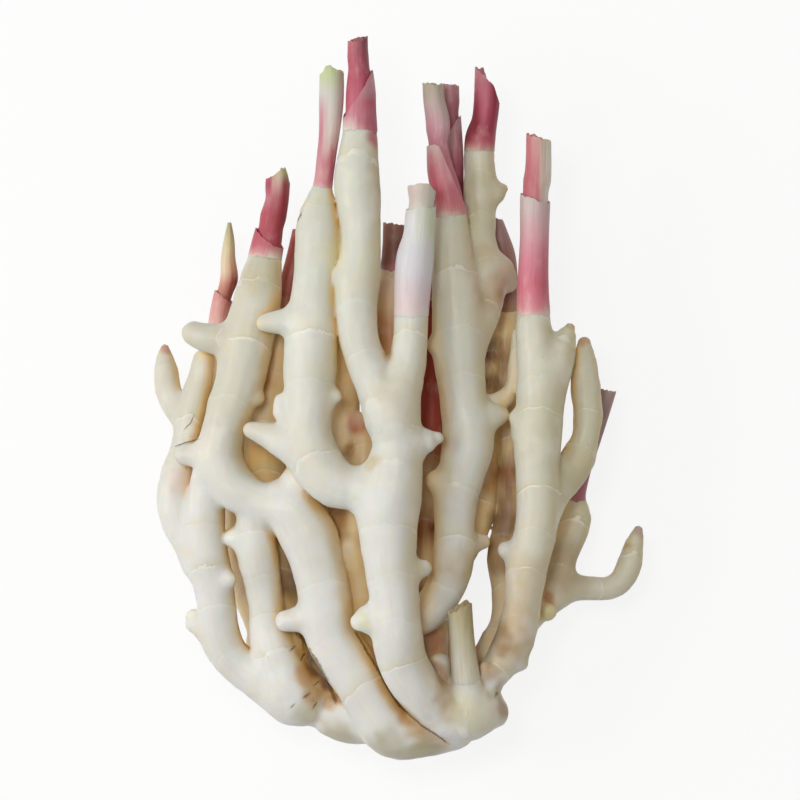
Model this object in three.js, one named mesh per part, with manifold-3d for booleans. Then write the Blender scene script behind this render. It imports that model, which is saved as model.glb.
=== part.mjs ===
// A hand of young ginger, washed and whole: one pale fleshy rhizome that branches into long fingers,
// with the cut leafy shoots still standing on the finger ends and the stub of last year's stem.
// Millimetres. The hand lies on its back on the plane z = 0, its shoots towards +Y, its front face up.

import * as THREE from 'three';
import { mergeVertices } from 'three/addons/utils/BufferGeometryUtils.js';
import Module from 'manifold-3d';

const wasm = await Module();
wasm.setup();

// ---- driving dimensions ----
const RING_STEP = 15; // length of finger between two rings of facets
const FRONT_SIDES = 10; // facets round a finger of the front
const REAR_SIDES = 8; // facets round a finger underneath
const SHOOT_SIDES = 10; // facets round a shoot
const KNOB_SIDES = 7; // facets round a bud or a knob
const SHOOT_STEP = 30; // length of shoot between two rings of facets
const DOME_ANGLES = [Math.PI / 4, Math.PI / 2]; // rings that round off an end
const TOUCH_GAP = 0.3; // left open between two pieces that touch
const SHEATH_WALL = 1; // thickness of a leaf sheath
const CUTTER = 400; // edge of a block that trims a piece
const FIBRE_ROUGHNESS = 0.55;
const SKIN_ROUGHNESS = 0.45;

// ---- the rhizome ----
// A finger is a list of stations [x, y, z, radius] from its root, inside what it grows from, to its end.
// Where a shoot follows, the finger ends in a flat; otherwise it ends in a dome.

const FRONT_FINGERS = {
  // the middle stem, which forks into the tall finger and the short one with the pale shoot
  middle_stem: [
    [21, -157, 60, 10.8], [8.5, -143, 70, 12], [1.3, -130, 76, 12.2], [-1.7, -115, 82, 12.5],
    [-2.5, -100, 84, 12.2], [-5, -80, 86, 13], [-6, -60, 87, 15], [-4, -40, 88, 14.8],
    [-1.3, -22, 88, 12.2], [-3.4, -8, 88, 13.6], [-1.6, 4, 88, 12.2], [2.2, 14, 88, 10.2],
    [4.8, 27, 88, 8.8], [5.5, 42, 88, 8.6],
  ],
  tall_finger: [
    [-5, -7, 88, 13.2], [-11.5, 8, 88, 10.8], [-16.2, 18, 88, 10], [-20, 29, 88.5, 9.8],
    [-21.6, 42, 89, 10.1], [-21.3, 57, 89, 11], [-19.8, 70, 88.5, 10.4], [-19.4, 82, 88, 10],
    [-20.4, 97, 87, 11], [-21.3, 110, 86.5, 11.3], [-20.6, 122, 86, 9.9], [-19.8, 133.5, 85.5, 8.5],
  ],
  arched_finger: [
    [-7, -48, 87, 12.5], [-20, -44.5, 86, 10], [-32, -41, 85, 12.2], [-41.5, -31, 84, 13],
    [-46, -16, 84, 12.3], [-45.2, 0, 84, 12.4], [-44.3, 18, 83.5, 13.5], [-43.3, 37, 82.5, 13.2],
    [-42, 55, 82, 11.6], [-40.8, 70, 82, 11.4], [-40.3, 82, 82, 11.6], [-40, 91, 81.8, 9.9],
    [-39.3, 100, 81.8, 6.8], [-38.3, 106, 82, 4.8],
  ],
  // the left stem, which hooks over to the left finger
  left_stem: [
    [26, -163, 52, 12.8], [12, -165.5, 52, 13.4], [-3.5, -165, 53, 14.4], [-14, -150, 57, 13.4],
    [-24.5, -133, 61, 13.6], [-34.5, -117, 63, 13.2], [-37.2, -100, 66, 13], [-41, -82, 68, 13.2],
    [-46.5, -66, 70, 14.4], [-56.5, -53, 71, 12.8], [-70, -50.3, 70, 10.2], [-83, -43, 69, 11.3],
    [-90, -30, 68, 11.8], [-88, -15, 68, 10.8], [-84, -2, 68, 11.6], [-79.8, 9, 68, 12.2],
    [-78, 20, 68, 12.9], [-75, 34, 68, 12.8], [-71.5, 48, 68, 11.9], [-69.2, 60, 68, 10.3],
    [-67.2, 71.5, 68, 8.3],
  ],
  left_prop: [
    [-56, -143, 45, 14], [-64, -121, 48, 11.5], [-66.7, -104, 52, 9], [-69, -90, 56, 9.2],
    [-71.3, -77, 61, 10.4], [-72.5, -63, 65, 9.5], [-72, -52, 69, 8.5],
  ],
  outer_left_stem: [
    [-66, -141, 43, 11.5], [-75.5, -136.5, 43, 9.2], [-85, -129, 44, 9.8], [-90.6, -118, 46, 10.4],
    [-91.7, -107, 49, 9.8], [-93, -96, 52, 9.8], [-96.3, -80, 56, 11], [-97.6, -63, 60, 9.8],
    [-96.8, -50, 63, 9.2], [-95, -38, 66, 8.8],
  ],
  outer_left_finger: [
    [-101, -80, 54, 9], [-107.5, -69, 54, 8], [-112.4, -58, 54, 8.2], [-113.6, -48, 54, 8.2],
    [-111.4, -36, 55, 7.8], [-108, -24, 56, 7], [-105, -11, 57, 7.2], [-102.4, 0, 57, 7.2],
    [-99.8, 11, 57, 6.3], [-98, 20, 57, 5.6],
  ],
  far_left_bud: [
    [-107, -12, 54, 5.5], [-112.5, -4, 52, 6.2], [-116.2, 5, 50, 6.6], [-117.3, 14, 49, 5.7],
    [-118, 20, 48.5, 4.7], [-118, 26, 48, 2.1],
  ],
  // the base of the hand
  base_right: [[12, -160, 50, 13], [23, -158, 54, 14.6], [34, -155.5, 56, 15], [44.5, -155, 56, 8.8]],
  base_left: [
    [-75.5, -137, 42, 8.6], [-66, -139.5, 43, 11.5], [-53, -149, 45, 14.5], [-43, -151, 42, 12.3],
  ],
  base_behind: [[-42, -150, 40, 11.5], [-28, -158, 42, 14], [-10, -160, 43, 13]],
  stub_neck: [[35, -157, 58, 9], [33, -139.5, 64, 7.2]],
  // the right middle stem, whose finger ends in the many-layered shoot
  right_stem: [
    [12, -152, 50, 11], [0, -138, 53, 10], [-3, -122, 55, 9], [4, -112, 56, 9], [12.6, -107, 57.5, 9.4],
    [20.5, -98, 59, 9.6], [25, -88, 61, 10], [27, -78, 62, 10.3], [27.2, -62, 64, 10],
    [27.8, -48, 65, 11], [31.5, -34, 66, 12], [34, -21, 66, 13], [32.6, -8, 66, 12], [31, 6, 66, 11.8],
    [29.4, 22, 66, 12.8], [28.8, 40, 66, 12.9], [27.4, 58, 66, 11.2], [26, 78, 66, 9.4],
    [25.3, 92.3, 66, 8.1],
  ],
  behind_shoot_finger: [[27, 66, 58, 8], [27.2, 80, 52, 6.4], [27.2, 92, 49, 5.2]],
  pointed_shoot_finger: [
    [34, 28, 62, 9], [40.6, 42, 60, 8.6], [44, 54, 59, 8.8], [43.4, 66, 57.5, 8.6],
    [41, 79, 55, 7.3], [40, 98, 53, 8], [40, 112, 53, 8], [39.8, 125, 53, 7.6],
  ],
  right_finger: [
    [33, -152, 53.5, 11], [41.7, -142.7, 54.3, 7.5], [49.2, -133.6, 57, 8.3], [54.4, -126, 59, 9.8],
    [59.3, -113, 61, 9.8], [61.6, -98, 63, 9.4], [63.6, -82, 64, 10.4], [67.4, -67, 65, 10.4],
    [69, -50, 66, 10.8], [68.6, -34, 66, 11], [68.6, -18, 66, 12.3], [69.8, -4, 66, 12],
    [70, 8, 66, 11.6], [68.3, 22, 66, 10.2], [66.8, 34, 66, 9.1], [66.6, 43, 66, 8.4],
  ],
  slim_right_finger: [
    [72, -58, 58, 7.4], [78.5, -47, 57, 7], [85, -37.5, 56, 8], [89, -29.5, 55.5, 8.7],
    [92.8, -19, 55, 6.9], [94.2, -7, 55, 7.3], [93, 5, 55, 7.3], [92.4, 15, 55, 6.7],
    [92.3, 23, 55, 5.2], [92.3, 28.5, 55, 3.4],
  ],
};

const REAR_FINGERS = {
  right_rear: [
    [60, -113, 38, 8.6], [70, -102, 35, 8.4], [78, -91, 33, 9], [82, -79, 31, 7.8], [86.2, -68, 30, 8],
    [88.8, -60, 30, 7.8], [88, -50, 30, 5.8],
  ],
  hooked_right: [
    [77, -98, 34, 9], [88, -95, 33, 6.7], [98, -95.3, 32, 5.8], [105.5, -95, 32, 6],
    [111.8, -91, 32, 6.1], [116.2, -82, 32, 6.2], [118.4, -73, 32, 4.8], [120.4, -65.8, 32, 2.4],
  ],
  under_middle: [
    [8, -142, 46, 11], [0, -112, 47, 10.5], [-3, -80, 47, 10.3], [-4, -50, 49, 10.3], [-3, -20, 50, 10.3],
    [-3, 5, 50, 10.2], [-4.5, 28, 50, 9.8], [-5, 46, 50, 9.3], [-4.2, 58, 50, 8.3], [-3.3, 66, 50, 6.6],
  ],
  under_arch: [
    [-10, -142, 50, 11], [-18, -118, 53, 9], [-20, -96, 56, 8.6], [-23, -74, 58, 8.5],
    [-20.5, -52, 60, 8.4], [-17.8, -32, 61, 7.9], [-18.8, -18, 61, 6.4], [-20.4, -10, 61, 4],
  ],
  under_arch_fork: [
    [-24, -72, 56, 8], [-29, -52, 54, 8], [-29.5, -28, 53, 8.8], [-29.5, -2, 53, 9.2],
    [-28.6, 24, 53, 8.6], [-29, 42, 53, 7], [-30, 52, 53, 4.2],
  ],
  red_shoot_finger: [
    [14, -136, 42, 10.5], [14, -110, 40, 9.6], [13, -85, 39, 9], [13.5, -60, 39, 9], [14.8, -40, 39, 8],
    [15.4, -26, 39, 6.8],
  ],
  right_under: [
    [15, -104, 39, 8.5], [22, -88, 38, 8.5], [31, -74, 38, 9], [38, -58, 38, 9.4], [41, -42, 38, 8.8],
    [42, -22, 38, 8], [43, -4, 38, 7.2], [44.5, 14, 38, 6.8], [47, 32, 38, 5.6],
  ],
  right_deep: [
    [46, -129, 40, 9.5], [52, -112, 37, 6.7], [52.6, -98, 36, 6.2], [51.4, -80, 36, 7.4],
    [55, -60, 36, 7.7], [56.3, -36, 36, 7.6], [56, -10, 36, 7.6], [54.5, 15, 36, 7.2], [54, 34, 36, 6.5],
    [53.5, 45, 36, 5.8],
  ],
  left_deep: [
    [-56, -128, 43, 11], [-61.5, -96, 41, 11.4], [-66, -62, 42, 10.8], [-68, -32, 44, 11],
    [-66, -6, 46, 10], [-62.3, 18, 48, 9], [-58.8, 36, 49, 7.6], [-57, 45, 49, 6.3],
  ],
  far_left_shoot_finger: [
    [-92, -98, 40, 8.5], [-96, -68, 36, 8], [-95, -38, 34, 7.5], [-93.5, -10, 34, 7.2],
    [-92.5, 14, 35, 6.7], [-91.8, 36, 36, 5.2],
  ],
  // the fingers that the hand lies on
  rest_left: [
    [-46, -146, 27, 13], [-65, -118, 20, 11], [-77, -89, 13, 10.8], [-82, -56, 9.6, 10.3],
    [-84, -20, 9.2, 10], [-84, 8, 9.2, 9.6], [-82.4, 26, 9.4, 8.2], [-81, 38, 9.4, 5],
  ],
  rest_mid_left: [
    [-14, -150, 26, 13], [-21, -118, 18, 12], [-28.5, -84, 12.2, 11.7], [-34, -48, 10.4, 11.2],
    [-36.3, -12, 10.2, 11], [-36.4, 22, 9.4, 10.1], [-35.4, 48, 9.4, 7.6],
  ],
  rest_mid_right: [
    [22, -148, 28, 14], [15, -116, 19, 12.3], [10, -82, 12.4, 12], [7.5, -46, 10.8, 11.6],
    [7.6, -10, 10.4, 11.2], [9.6, 24, 9.6, 10.2], [11.6, 48, 9.4, 7.8],
  ],
  rest_right: [
    [40, -142, 32, 12], [55.5, -117, 24, 10], [62, -90, 15, 10], [66, -54, 10, 10.5],
    [69, -18, 9.4, 10.1], [70, 8, 9, 9.2], [70, 26, 8.6, 6.6],
  ],
};

// A knob is a bud or a short side finger: stations from inside its finger to its blunt end.
const KNOBS = [
  // on the left finger and its stem
  [[-85, 30, 68, 8], [-97, 31, 67.5, 7], [-103, 33.2, 67, 6]],
  [[-74, 1.5, 69, 5], [-70.6, 0.7, 71, 3.1]],
  [[-92, -28, 67, 7], [-101, -27.6, 66, 6.1], [-106.8, -27.4, 65, 5.5]],
  [[-42, -108, 64, 7.5], [-52, -109.6, 65, 6.2], [-57, -110.3, 65, 5.4]],
  [[-53, -54, 72, 11], [-50.5, -41, 73, 9.2]],
  // on the left props
  [[-76, -70, 62, 6], [-84, -69, 62, 4.8]],
  [[-91, -91.5, 55, 5.5], [-86.2, -89.8, 60, 4.4]],
  [[-95, -115, 45, 6.5], [-102.5, -112.5, 43, 5.3], [-104.2, -109, 43, 3.8]],
  // on the arched finger
  [[-50, 39.5, 84, 7.5], [-61, 38.6, 84.5, 5.9], [-67, 38.2, 85, 4.4]],
  [[-49, -24, 84, 10.6], [-59.5, -19.8, 84, 8.2], [-66.5, -17, 83.5, 6.2], [-73.6, -14.8, 83, 4.2]],
  [[-54.5, -10, 85, 5], [-59, -6, 86, 4.1], [-59.4, 0, 86, 2.8]],
  [[-36, 1, 85, 5], [-32, 2, 86, 3.2]],
  // on the middle stem and the tall finger
  [[-9, -108, 82, 7.6], [-15.5, -108.6, 83, 7.2], [-19.6, -110, 83, 4.8]],
  [[4, -22, 88, 8.4], [12.5, -20.3, 88, 6.2], [18.2, -18.8, 87.5, 3.4]],
  [[4, -85, 84, 6.5], [11.6, -83.5, 81, 4.3]],
  [[-26, 60, 89, 6.5], [-28.2, 61, 89, 4.5]],
  // on the right stem and its fingers
  [[24, -42, 66, 7.6], [17, -40, 66.5, 4.6]],
  [[22, 26.5, 67, 6.4], [18, 27.4, 69, 4.2]],
  [[35, -10, 66, 9.4], [43.6, -8.4, 65, 7.6], [50, -7.6, 64, 4.6]],
  [[42, -4, 60, 6], [50, -1, 58, 5], [55.5, 5, 58, 4], [57.6, 18, 58, 3.4], [58, 33, 59, 2.6]],
  [[30, -72, 60, 7], [37, -71.4, 56, 5.4], [41.6, -71, 54, 3.8]],
  [[42, 102, 53, 7], [47.6, 104, 53.5, 5.6], [51.4, 105.8, 53.5, 2.8]],
  [[42, 63, 57, 8.6], [50.3, 65.2, 55, 7.2], [54, 58.5, 53, 4.8]],
  // on the right finger
  [
    [71, 6, 66, 11.2], [75.6, 15, 65, 10.2], [79.4, 24, 64, 8.4], [83, 31.5, 63, 4.9],
    [85.2, 36.6, 62, 2.4],
  ],
  [[61, -12, 67, 6.6], [57.8, -9.2, 68, 3.5]],
  [[58, -77, 62, 7], [52.7, -75.2, 61.5, 4.1]],
  [[57.5, -128, 58, 5], [61.4, -132.6, 58, 2.2]],
  // on the base
  [[45, -146, 58, 4.6], [43, -138, 60, 3.1], [41.6, -133, 61, 1.9]],
  [[18, -147, 58, 8.4], [19.4, -133.4, 58, 6.6]],
  [[43, -156, 56, 8], [48, -157.6, 55, 5.4]],
  // at the back and underneath
  [[69, -107, 42, 5.6], [74.4, -106.4, 46.5, 4.6]],
  [[-25, -80, 60, 8], [-25.2, -73, 64, 5.6]],
  [[-86, -30, 12, 7.4], [-97, -26, 12, 4.4]],
  [[-37, 2, 13, 7.6], [-49, 6, 12, 4.6]],
  [[8, -30, 13, 8], [21, -27, 12, 4.8]],
  [[-60, -122, 24, 8], [-73, -124, 20, 5]],
  [[24, -148, 36, 11], [26, -160, 28, 7]],
  [[-30, -148, 34, 10], [-36, -160, 28, 6.4]],
];

// ---- the shoots ----
// A shoot continues the line of its finger. stations: its outer surface. sheathTo: number of stations that
// its outermost leaf sheath wraps. lip: where that sheath ends, and top: where the shoot was cut, each as
// a point and the way out of it.

const SHOOTS = {
  far_left_shoot: {
    on: 'far_left_shoot_finger',
    stations: [
      [-91, 45, 36, 4.7], [-88.4, 54, 36, 5.2], [-86.2, 61, 36, 4.7], [-86.6, 71, 36, 3.8],
      [-86.1, 81, 36, 2.7], [-86, 89.5, 36, 1],
    ],
    sheathTo: 2,
    lip: { at: [-88.5, 52, 36], out: [0.75, 1, 0.15] },
    colour: '#cf8790',
  },
  left_shoot: {
    on: 'left_stem',
    stations: [
      [-65.4, 80, 68, 7.8], [-63.4, 90, 68, 6.8], [-61.2, 100, 68, 5.9], [-61, 107, 68, 6.2],
      [-60, 119, 68, 6],
    ],
    sheathTo: 2,
    lip: { at: [-65, 80.5, 68], out: [0.75, 1, 0.3] },
    top: [
      { at: [-62, 112.7, 68], out: [-0.5, 0.86, 0.05] },
      { at: [-57.3, 115, 68], out: [0.94, 0.34, 0.05] },
    ],
    colour: '#b5505f',
  },
  green_tipped_shoot: {
    on: 'arched_finger',
    stations: [[-36.6, 120, 82, 4.6], [-35, 133, 81.5, 5], [-34, 148, 81, 5.9], [-33.8, 167, 80.5, 5.7]],
    top: [
      { at: [-36, 166, 80.5], out: [-1, 0.75, 0] },
      { at: [-36, 166, 80.5], out: [0.45, 1, 0.1] },
    ],
    colour: '#cdbcb8',
  },
  tall_shoot: {
    on: 'tall_finger',
    stations: [
      [-20, 143, 85, 8.1], [-20, 153, 85, 7.8], [-20.2, 163, 85, 6.6], [-20.8, 171, 85, 5.3],
      [-21, 182, 85, 5],
    ],
    sheathTo: 3,
    lip: { at: [-20, 153, 85], out: [-1, 0.62, 0.15] },
    top: [{ at: [-21, 178.6, 85], out: [-0.22, 1, 0.2] }],
    colour: '#b04c5c',
  },
  pale_shoot: {
    on: 'middle_stem',
    stations: [
      [6, 52, 88, 8.9], [6.8, 63, 88, 9.3], [7.6, 71, 88, 9.2], [9.3, 81, 88, 7.8], [10.1, 91, 88, 7.5],
      [10.7, 98, 88, 7.2], [10.9, 110, 88, 7.1],
    ],
    sheathTo: 6,
    lip: { at: [10, 95, 88], out: [-0.1, 1, 0.1] },
    top: [
      { at: [10.6, 106, 88], out: [-0.08, 1, -0.1] },
      { at: [15.6, 105.2, 88], out: [0.77, 0.63, 0] },
    ],
    colour: '#dcd3cf',
  },
  brown_shoot: {
    on: 'under_middle',
    stations: [[-3.1, 76, 50, 5.7], [-3, 92, 50, 5.3]],
    top: [{ at: [-3, 88, 50], out: [0.12, 1, 0] }],
    colour: '#8a4a44',
  },
  layered_shoot: {
    on: 'right_stem',
    stations: [
      [23.8, 103, 66, 8], [20.8, 115, 66, 7.2], [19.2, 127, 66, 5.9], [18.8, 139, 66, 6],
      [16.9, 150, 66, 5.4], [16.4, 161, 66, 5.4],
    ],
    sheathTo: 3,
    lip: { at: [21, 124, 66], out: [0.92, 0.4, 0.1] },
    top: [{ at: [16.8, 157.4, 66], out: [0.05, 1, 0.1] }],
    colour: '#b56672',
  },
  behind_layered_shoot: {
    on: 'behind_shoot_finger',
    stations: [
      [27.2, 105, 48.5, 4.6], [27.2, 122, 48.5, 4.5], [26.2, 142, 48.5, 4.3], [25.1, 150, 48.5, 4.8],
      [25, 162, 48.5, 4.6],
    ],
    sheathTo: 3,
    lip: { at: [28.4, 140.5, 48.5], out: [-0.85, 0.6, 0.1] },
    top: [{ at: [25, 158, 48.5], out: [0.1, 1, 0.1] }],
    colour: '#b58088',
  },
  pointed_shoot: {
    on: 'pointed_shoot_finger',
    stations: [
      [40.4, 132, 53, 7.5], [42.3, 140, 53, 6.4], [43.3, 148, 53, 6.4], [43.6, 156, 53, 6.3],
      [43.8, 170, 53, 6],
    ],
    top: [
      { at: [38.4, 165.8, 53], out: [0.69, 0.72, 0.05] },
      { at: [47.8, 154.5, 53], out: [0.95, 0.32, 0] },
    ],
    colour: '#a83f50',
  },
  right_shoot: {
    on: 'right_finger',
    stations: [
      [66.3, 58, 66, 7.8], [67.1, 80, 66, 7.2], [67.7, 104, 66, 7.5], [68.9, 114, 66, 6.7],
      [69.3, 136, 66, 6.2],
    ],
    sheathTo: 3,
    lip: { at: [67.5, 100.6, 66], out: [0.3, 1, 0.15] },
    top: [{ at: [69, 130.8, 66], out: [0.28, 1, 0.1] }],
    colour: '#d58d96',
  },
  right_rear_shoot: {
    on: 'right_deep',
    stations: [[53.7, 58, 38, 5.5], [52.6, 72, 40, 5.4], [49.6, 82, 41, 5], [45.5, 95, 42, 4]],
    top: [{ at: [47.6, 91.5, 42], out: [0.3, 1, 0] }],
    colour: '#96605e',
  },
  far_right_rear_shoot: {
    on: 'right_rear',
    stations: [[91, -37, 30.5, 5], [96.4, -21, 31, 4.7], [101, -7, 32, 4.5], [106, 9, 33, 4.3]],
    top: [{ at: [104.4, 4.6, 33], out: [0.2, 1, 0] }],
    colour: '#9c7468',
  },
  red_left_rear_shoot: {
    on: 'left_deep',
    stations: [[-55.6, 57, 49, 5.3], [-52.4, 71, 49, 4.7], [-49, 88, 49, 4.1]],
    top: [{ at: [-49.6, 85, 49], out: [0.1, 1, 0.1] }],
    colour: '#8c3b2c',
  },
  red_middle_rear_shoot: {
    on: 'red_shoot_finger',
    stations: [[15.8, -10, 39, 6.5], [15.6, 12, 39, 6.2], [15.4, 34, 39, 5.2], [15.5, 54, 39, 4.4]],
    top: [{ at: [15.3, 50, 39], out: [0.2, 1, 0] }],
    colour: '#83312a',
  },
  under_left_shoot: {
    on: 'rest_mid_left',
    stations: [[-35, 60, 9.4, 6], [-35.4, 74, 9.4, 5.2], [-36, 94, 9.4, 4.6]],
    top: [{ at: [-36, 90, 9.4], out: [0.2, 1, 0.2] }],
    colour: '#c98a90',
  },
  under_middle_shoot: {
    on: 'rest_mid_right',
    stations: [[12.6, 60, 9.4, 6.2], [13.2, 74, 9.4, 5.3], [13.6, 92, 9.4, 4.7]],
    top: [{ at: [13.6, 88, 9.4], out: [-0.2, 1, 0.2] }],
    colour: '#c98a90',
  },
  under_right_shoot: {
    on: 'rest_right',
    stations: [[69.8, 38, 8.6, 5.5], [69, 54, 8.6, 4.9], [68, 76, 8.6, 4.3]],
    top: [{ at: [68, 72, 8.6], out: [0.2, 1, 0.2] }],
    colour: '#c98a90',
  },
};

const STUB = {
  stations: [[32, -130, 66.5, 6.6], [30.8, -118, 69.5, 6.2], [29.4, -99, 74, 6.1]],
  top: [
    { at: [32, -101.4, 74], out: [0.05, 1, 0.2] },
    { at: [26.5, -105, 74], out: [-0.62, 1, 0.2] },
  ],
  colour: '#cfc6ab',
};

// ---- shaping ----

// Rings along a smooth line through the stations, each with its centre, two directions across and radius.
// first and last are places in the list of stations.
function ringsAlong(stations, first, last, step) {
  const middle = new THREE.CatmullRomCurve3(stations.map(([x, y, z]) => new THREE.Vector3(x, y, z)));
  const girth = new THREE.CatmullRomCurve3(stations.map(([, , , r], i) => new THREE.Vector3(r, i, 0)));
  const count = stations.length - 1;
  const rings = [];
  const side = new THREE.Vector3();
  for (let i = first; i < last; i += 1) {
    const from = middle.getPoint(i / count);
    const pieces = Math.max(1, Math.round(from.distanceTo(middle.getPoint((i + 1) / count)) / step));
    const start = i === first ? 0 : 1;
    for (let k = start; k <= pieces; k += 1) {
      const place = (i + k / pieces) / count;
      const along = middle.getTangent(place);
      if (rings.length === 0) {
        side.crossVectors(along, new THREE.Vector3(0, 0, 1));
      }
      side.addScaledVector(along, -side.dot(along)).normalize();
      rings.push({
        centre: middle.getPoint(place),
        along,
        side: side.clone(),
        up: new THREE.Vector3().crossVectors(side, along),
        radius: girth.getPoint(place).x,
      });
    }
  }
  return rings;
}

// The rings that close an end as a dome, from the end outwards.
// outwards is 1 past the end and -1 before the root.
function domeRings(end, outwards) {
  return DOME_ANGLES.map((angle) => ({
    ...end,
    centre: end.centre.clone().addScaledVector(end.along, outwards * end.radius * Math.sin(angle)),
    radius: angle < Math.PI / 2 ? end.radius * Math.cos(angle) : 0,
  }));
}

function withRootDome(rings) {
  return [...domeRings(rings[0], -1).reverse(), ...rings];
}

function withEndDome(rings) {
  return [...rings, ...domeRings(rings[rings.length - 1], 1)];
}

// A turned profile, one unit of height to a ring, laid along the rings as a closed solid.
function bend(profile, rings, sides) {
  const turned = new THREE.LatheGeometry(profile, sides);
  const places = turned.attributes.position;
  const point = new THREE.Vector3();
  for (let i = 0; i < places.count; i += 1) {
    const ring = rings[Math.round(places.getY(i))];
    point.copy(ring.centre);
    point.addScaledVector(ring.side, places.getX(i));
    point.addScaledVector(ring.up, places.getZ(i));
    places.setXYZ(i, point.x, point.y, point.z);
  }
  return solidFrom(turned);
}

function solidFrom(geometry) {
  const bare = geometry.clone();
  bare.deleteAttribute('normal');
  bare.deleteAttribute('uv');
  const merged = mergeVertices(bare, 1e-4);
  const corners = merged.index.array;
  const triangles = [];
  for (let i = 0; i < corners.length; i += 3) {
    const [a, b, c] = [corners[i], corners[i + 1], corners[i + 2]];
    if (a !== b && b !== c && c !== a) {
      triangles.push(a, b, c);
    }
  }
  const vertProperties = new Float32Array(merged.attributes.position.array);
  const triVerts = new Uint32Array(triangles);
  return new wasm.Manifold(new wasm.Mesh({ numProp: 3, vertProperties, triVerts }));
}

function solidRod(rings, sides) {
  const profile = rings.map((ring, i) => new THREE.Vector2(ring.radius, i));
  const root = rings[0].radius > 0 ? [new THREE.Vector2(0, 0)] : [];
  const end = rings.at(-1).radius > 0 ? [new THREE.Vector2(0, rings.length - 1)] : [];
  return bend([...root, ...profile, ...end], rings, sides);
}

function hollowRod(rings, wall, sides) {
  const outside = rings.map((ring, i) => new THREE.Vector2(ring.radius, i));
  const inside = rings.map((ring, i) => new THREE.Vector2(ring.radius - wall, i)).reverse();
  return bend([...outside, ...inside, outside[0]], rings, sides);
}

// The solid that lies beyond a plane.
function beyond({ at, out }) {
  const block = new THREE.BoxGeometry(CUTTER, CUTTER, CUTTER);
  block.translate(0, 0, CUTTER / 2);
  const turn = new THREE.Quaternion();
  turn.setFromUnitVectors(new THREE.Vector3(0, 0, 1), new THREE.Vector3(...out).normalize());
  block.applyQuaternion(turn);
  block.translate(...at);
  return solidFrom(block);
}

function trim(solid, planes = []) {
  return planes.reduce((left, plane) => left.subtract(beyond(plane)), solid);
}

// ---- pieces ----

const hand = new THREE.Group();
hand.name = 'young_ginger';

function addPiece(name, solid, colour, roughness) {
  const { numProp, vertProperties, triVerts } = solid.getMesh();
  const places = new Float32Array((vertProperties.length / numProp) * 3);
  for (let i = 0; i < places.length / 3; i += 1) {
    places.set(vertProperties.subarray(i * numProp, i * numProp + 3), i * 3);
  }
  const geometry = new THREE.BufferGeometry();
  geometry.setAttribute('position', new THREE.BufferAttribute(places, 3));
  geometry.setIndex(new THREE.BufferAttribute(new Uint32Array(triVerts), 1));
  geometry.computeVertexNormals();
  const skin = new THREE.MeshStandardMaterial({ color: colour, roughness, metalness: 0 });
  const piece = new THREE.Mesh(geometry, skin);
  piece.name = name;
  hand.add(piece);
}

function fingerSolid(name, stations, sides) {
  const shoot = Object.values(SHOOTS).find((one) => one.on === name);
  const further = shoot ? shoot.stations : name === 'stub_neck' ? STUB.stations : [];
  const rings = withRootDome(ringsAlong([...stations, ...further], 0, stations.length - 1, RING_STEP));
  return solidRod(further.length ? rings : withEndDome(rings), sides);
}

function knobSolid(stations) {
  return solidRod(withEndDome(ringsAlong(stations, 0, stations.length - 1, RING_STEP)), KNOB_SIDES);
}

function rhizomeSolid() {
  const parts = [
    ...Object.entries(FRONT_FINGERS).map(([name, stations]) => fingerSolid(name, stations, FRONT_SIDES)),
    ...Object.entries(REAR_FINGERS).map(([name, stations]) => fingerSolid(name, stations, REAR_SIDES)),
    ...KNOBS.map(knobSolid),
  ];
  const grown = parts.reduce((whole, part) => whole.add(part));
  return trim(grown, [{ at: [0, 0, 0], out: [0, 0, -1] }]);
}

// Rings of what stands on a finger, starting just clear of the finger's flat end.
function shootRings(flesh, stations) {
  const start = flesh.length - 1;
  const rings = ringsAlong([...flesh, ...stations], start, start + stations.length, SHOOT_STEP);
  rings[0].centre.addScaledVector(rings[0].along, TOUCH_GAP);
  return rings;
}

function addShoot(name, { on, stations, sheathTo, lip, top, colour }) {
  const flesh = FRONT_FINGERS[on] ?? REAR_FINGERS[on];
  const rings = shootRings(flesh, stations);
  if (!sheathTo) {
    addPiece(name, trim(solidRod(rings, SHOOT_SIDES), top), colour, FIBRE_ROUGHNESS);
    return;
  }
  const wrapEnd = new THREE.Vector3(...stations[sheathTo - 1].slice(0, 3));
  const reach = rings.findIndex((ring) => ring.centre.distanceTo(wrapEnd) < 0.01);
  const wrapped = rings.slice(0, reach + 1);
  const sheath = trim(hollowRod(wrapped, SHEATH_WALL, SHOOT_SIDES), [lip]);
  addPiece(`${name}_sheath`, sheath, colour, FIBRE_ROUGHNESS);
  const slim = rings.map((ring, i) => ({
    ...ring,
    radius: i <= reach ? ring.radius - SHEATH_WALL - TOUCH_GAP : ring.radius,
  }));
  addPiece(`${name}_stem`, trim(solidRod(slim, SHOOT_SIDES), top), colour, FIBRE_ROUGHNESS);
}

addPiece('rhizome', rhizomeSolid(), '#e6ddc6', SKIN_ROUGHNESS);
Object.entries(SHOOTS).forEach(([name, shoot]) => addShoot(name, shoot));
const stub = solidRod(shootRings(FRONT_FINGERS.stub_neck, STUB.stations), SHOOT_SIDES);
addPiece('old_stem_stub', trim(stub, STUB.top), STUB.colour, FIBRE_ROUGHNESS);

export default hand;
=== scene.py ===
# A hand of young ginger, washed and whole, lying on its back on a plain white table.
# The tables of fingers, knobs and shoots are in millimetres: [x, y, z, radius] from root to end.

import math

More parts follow.
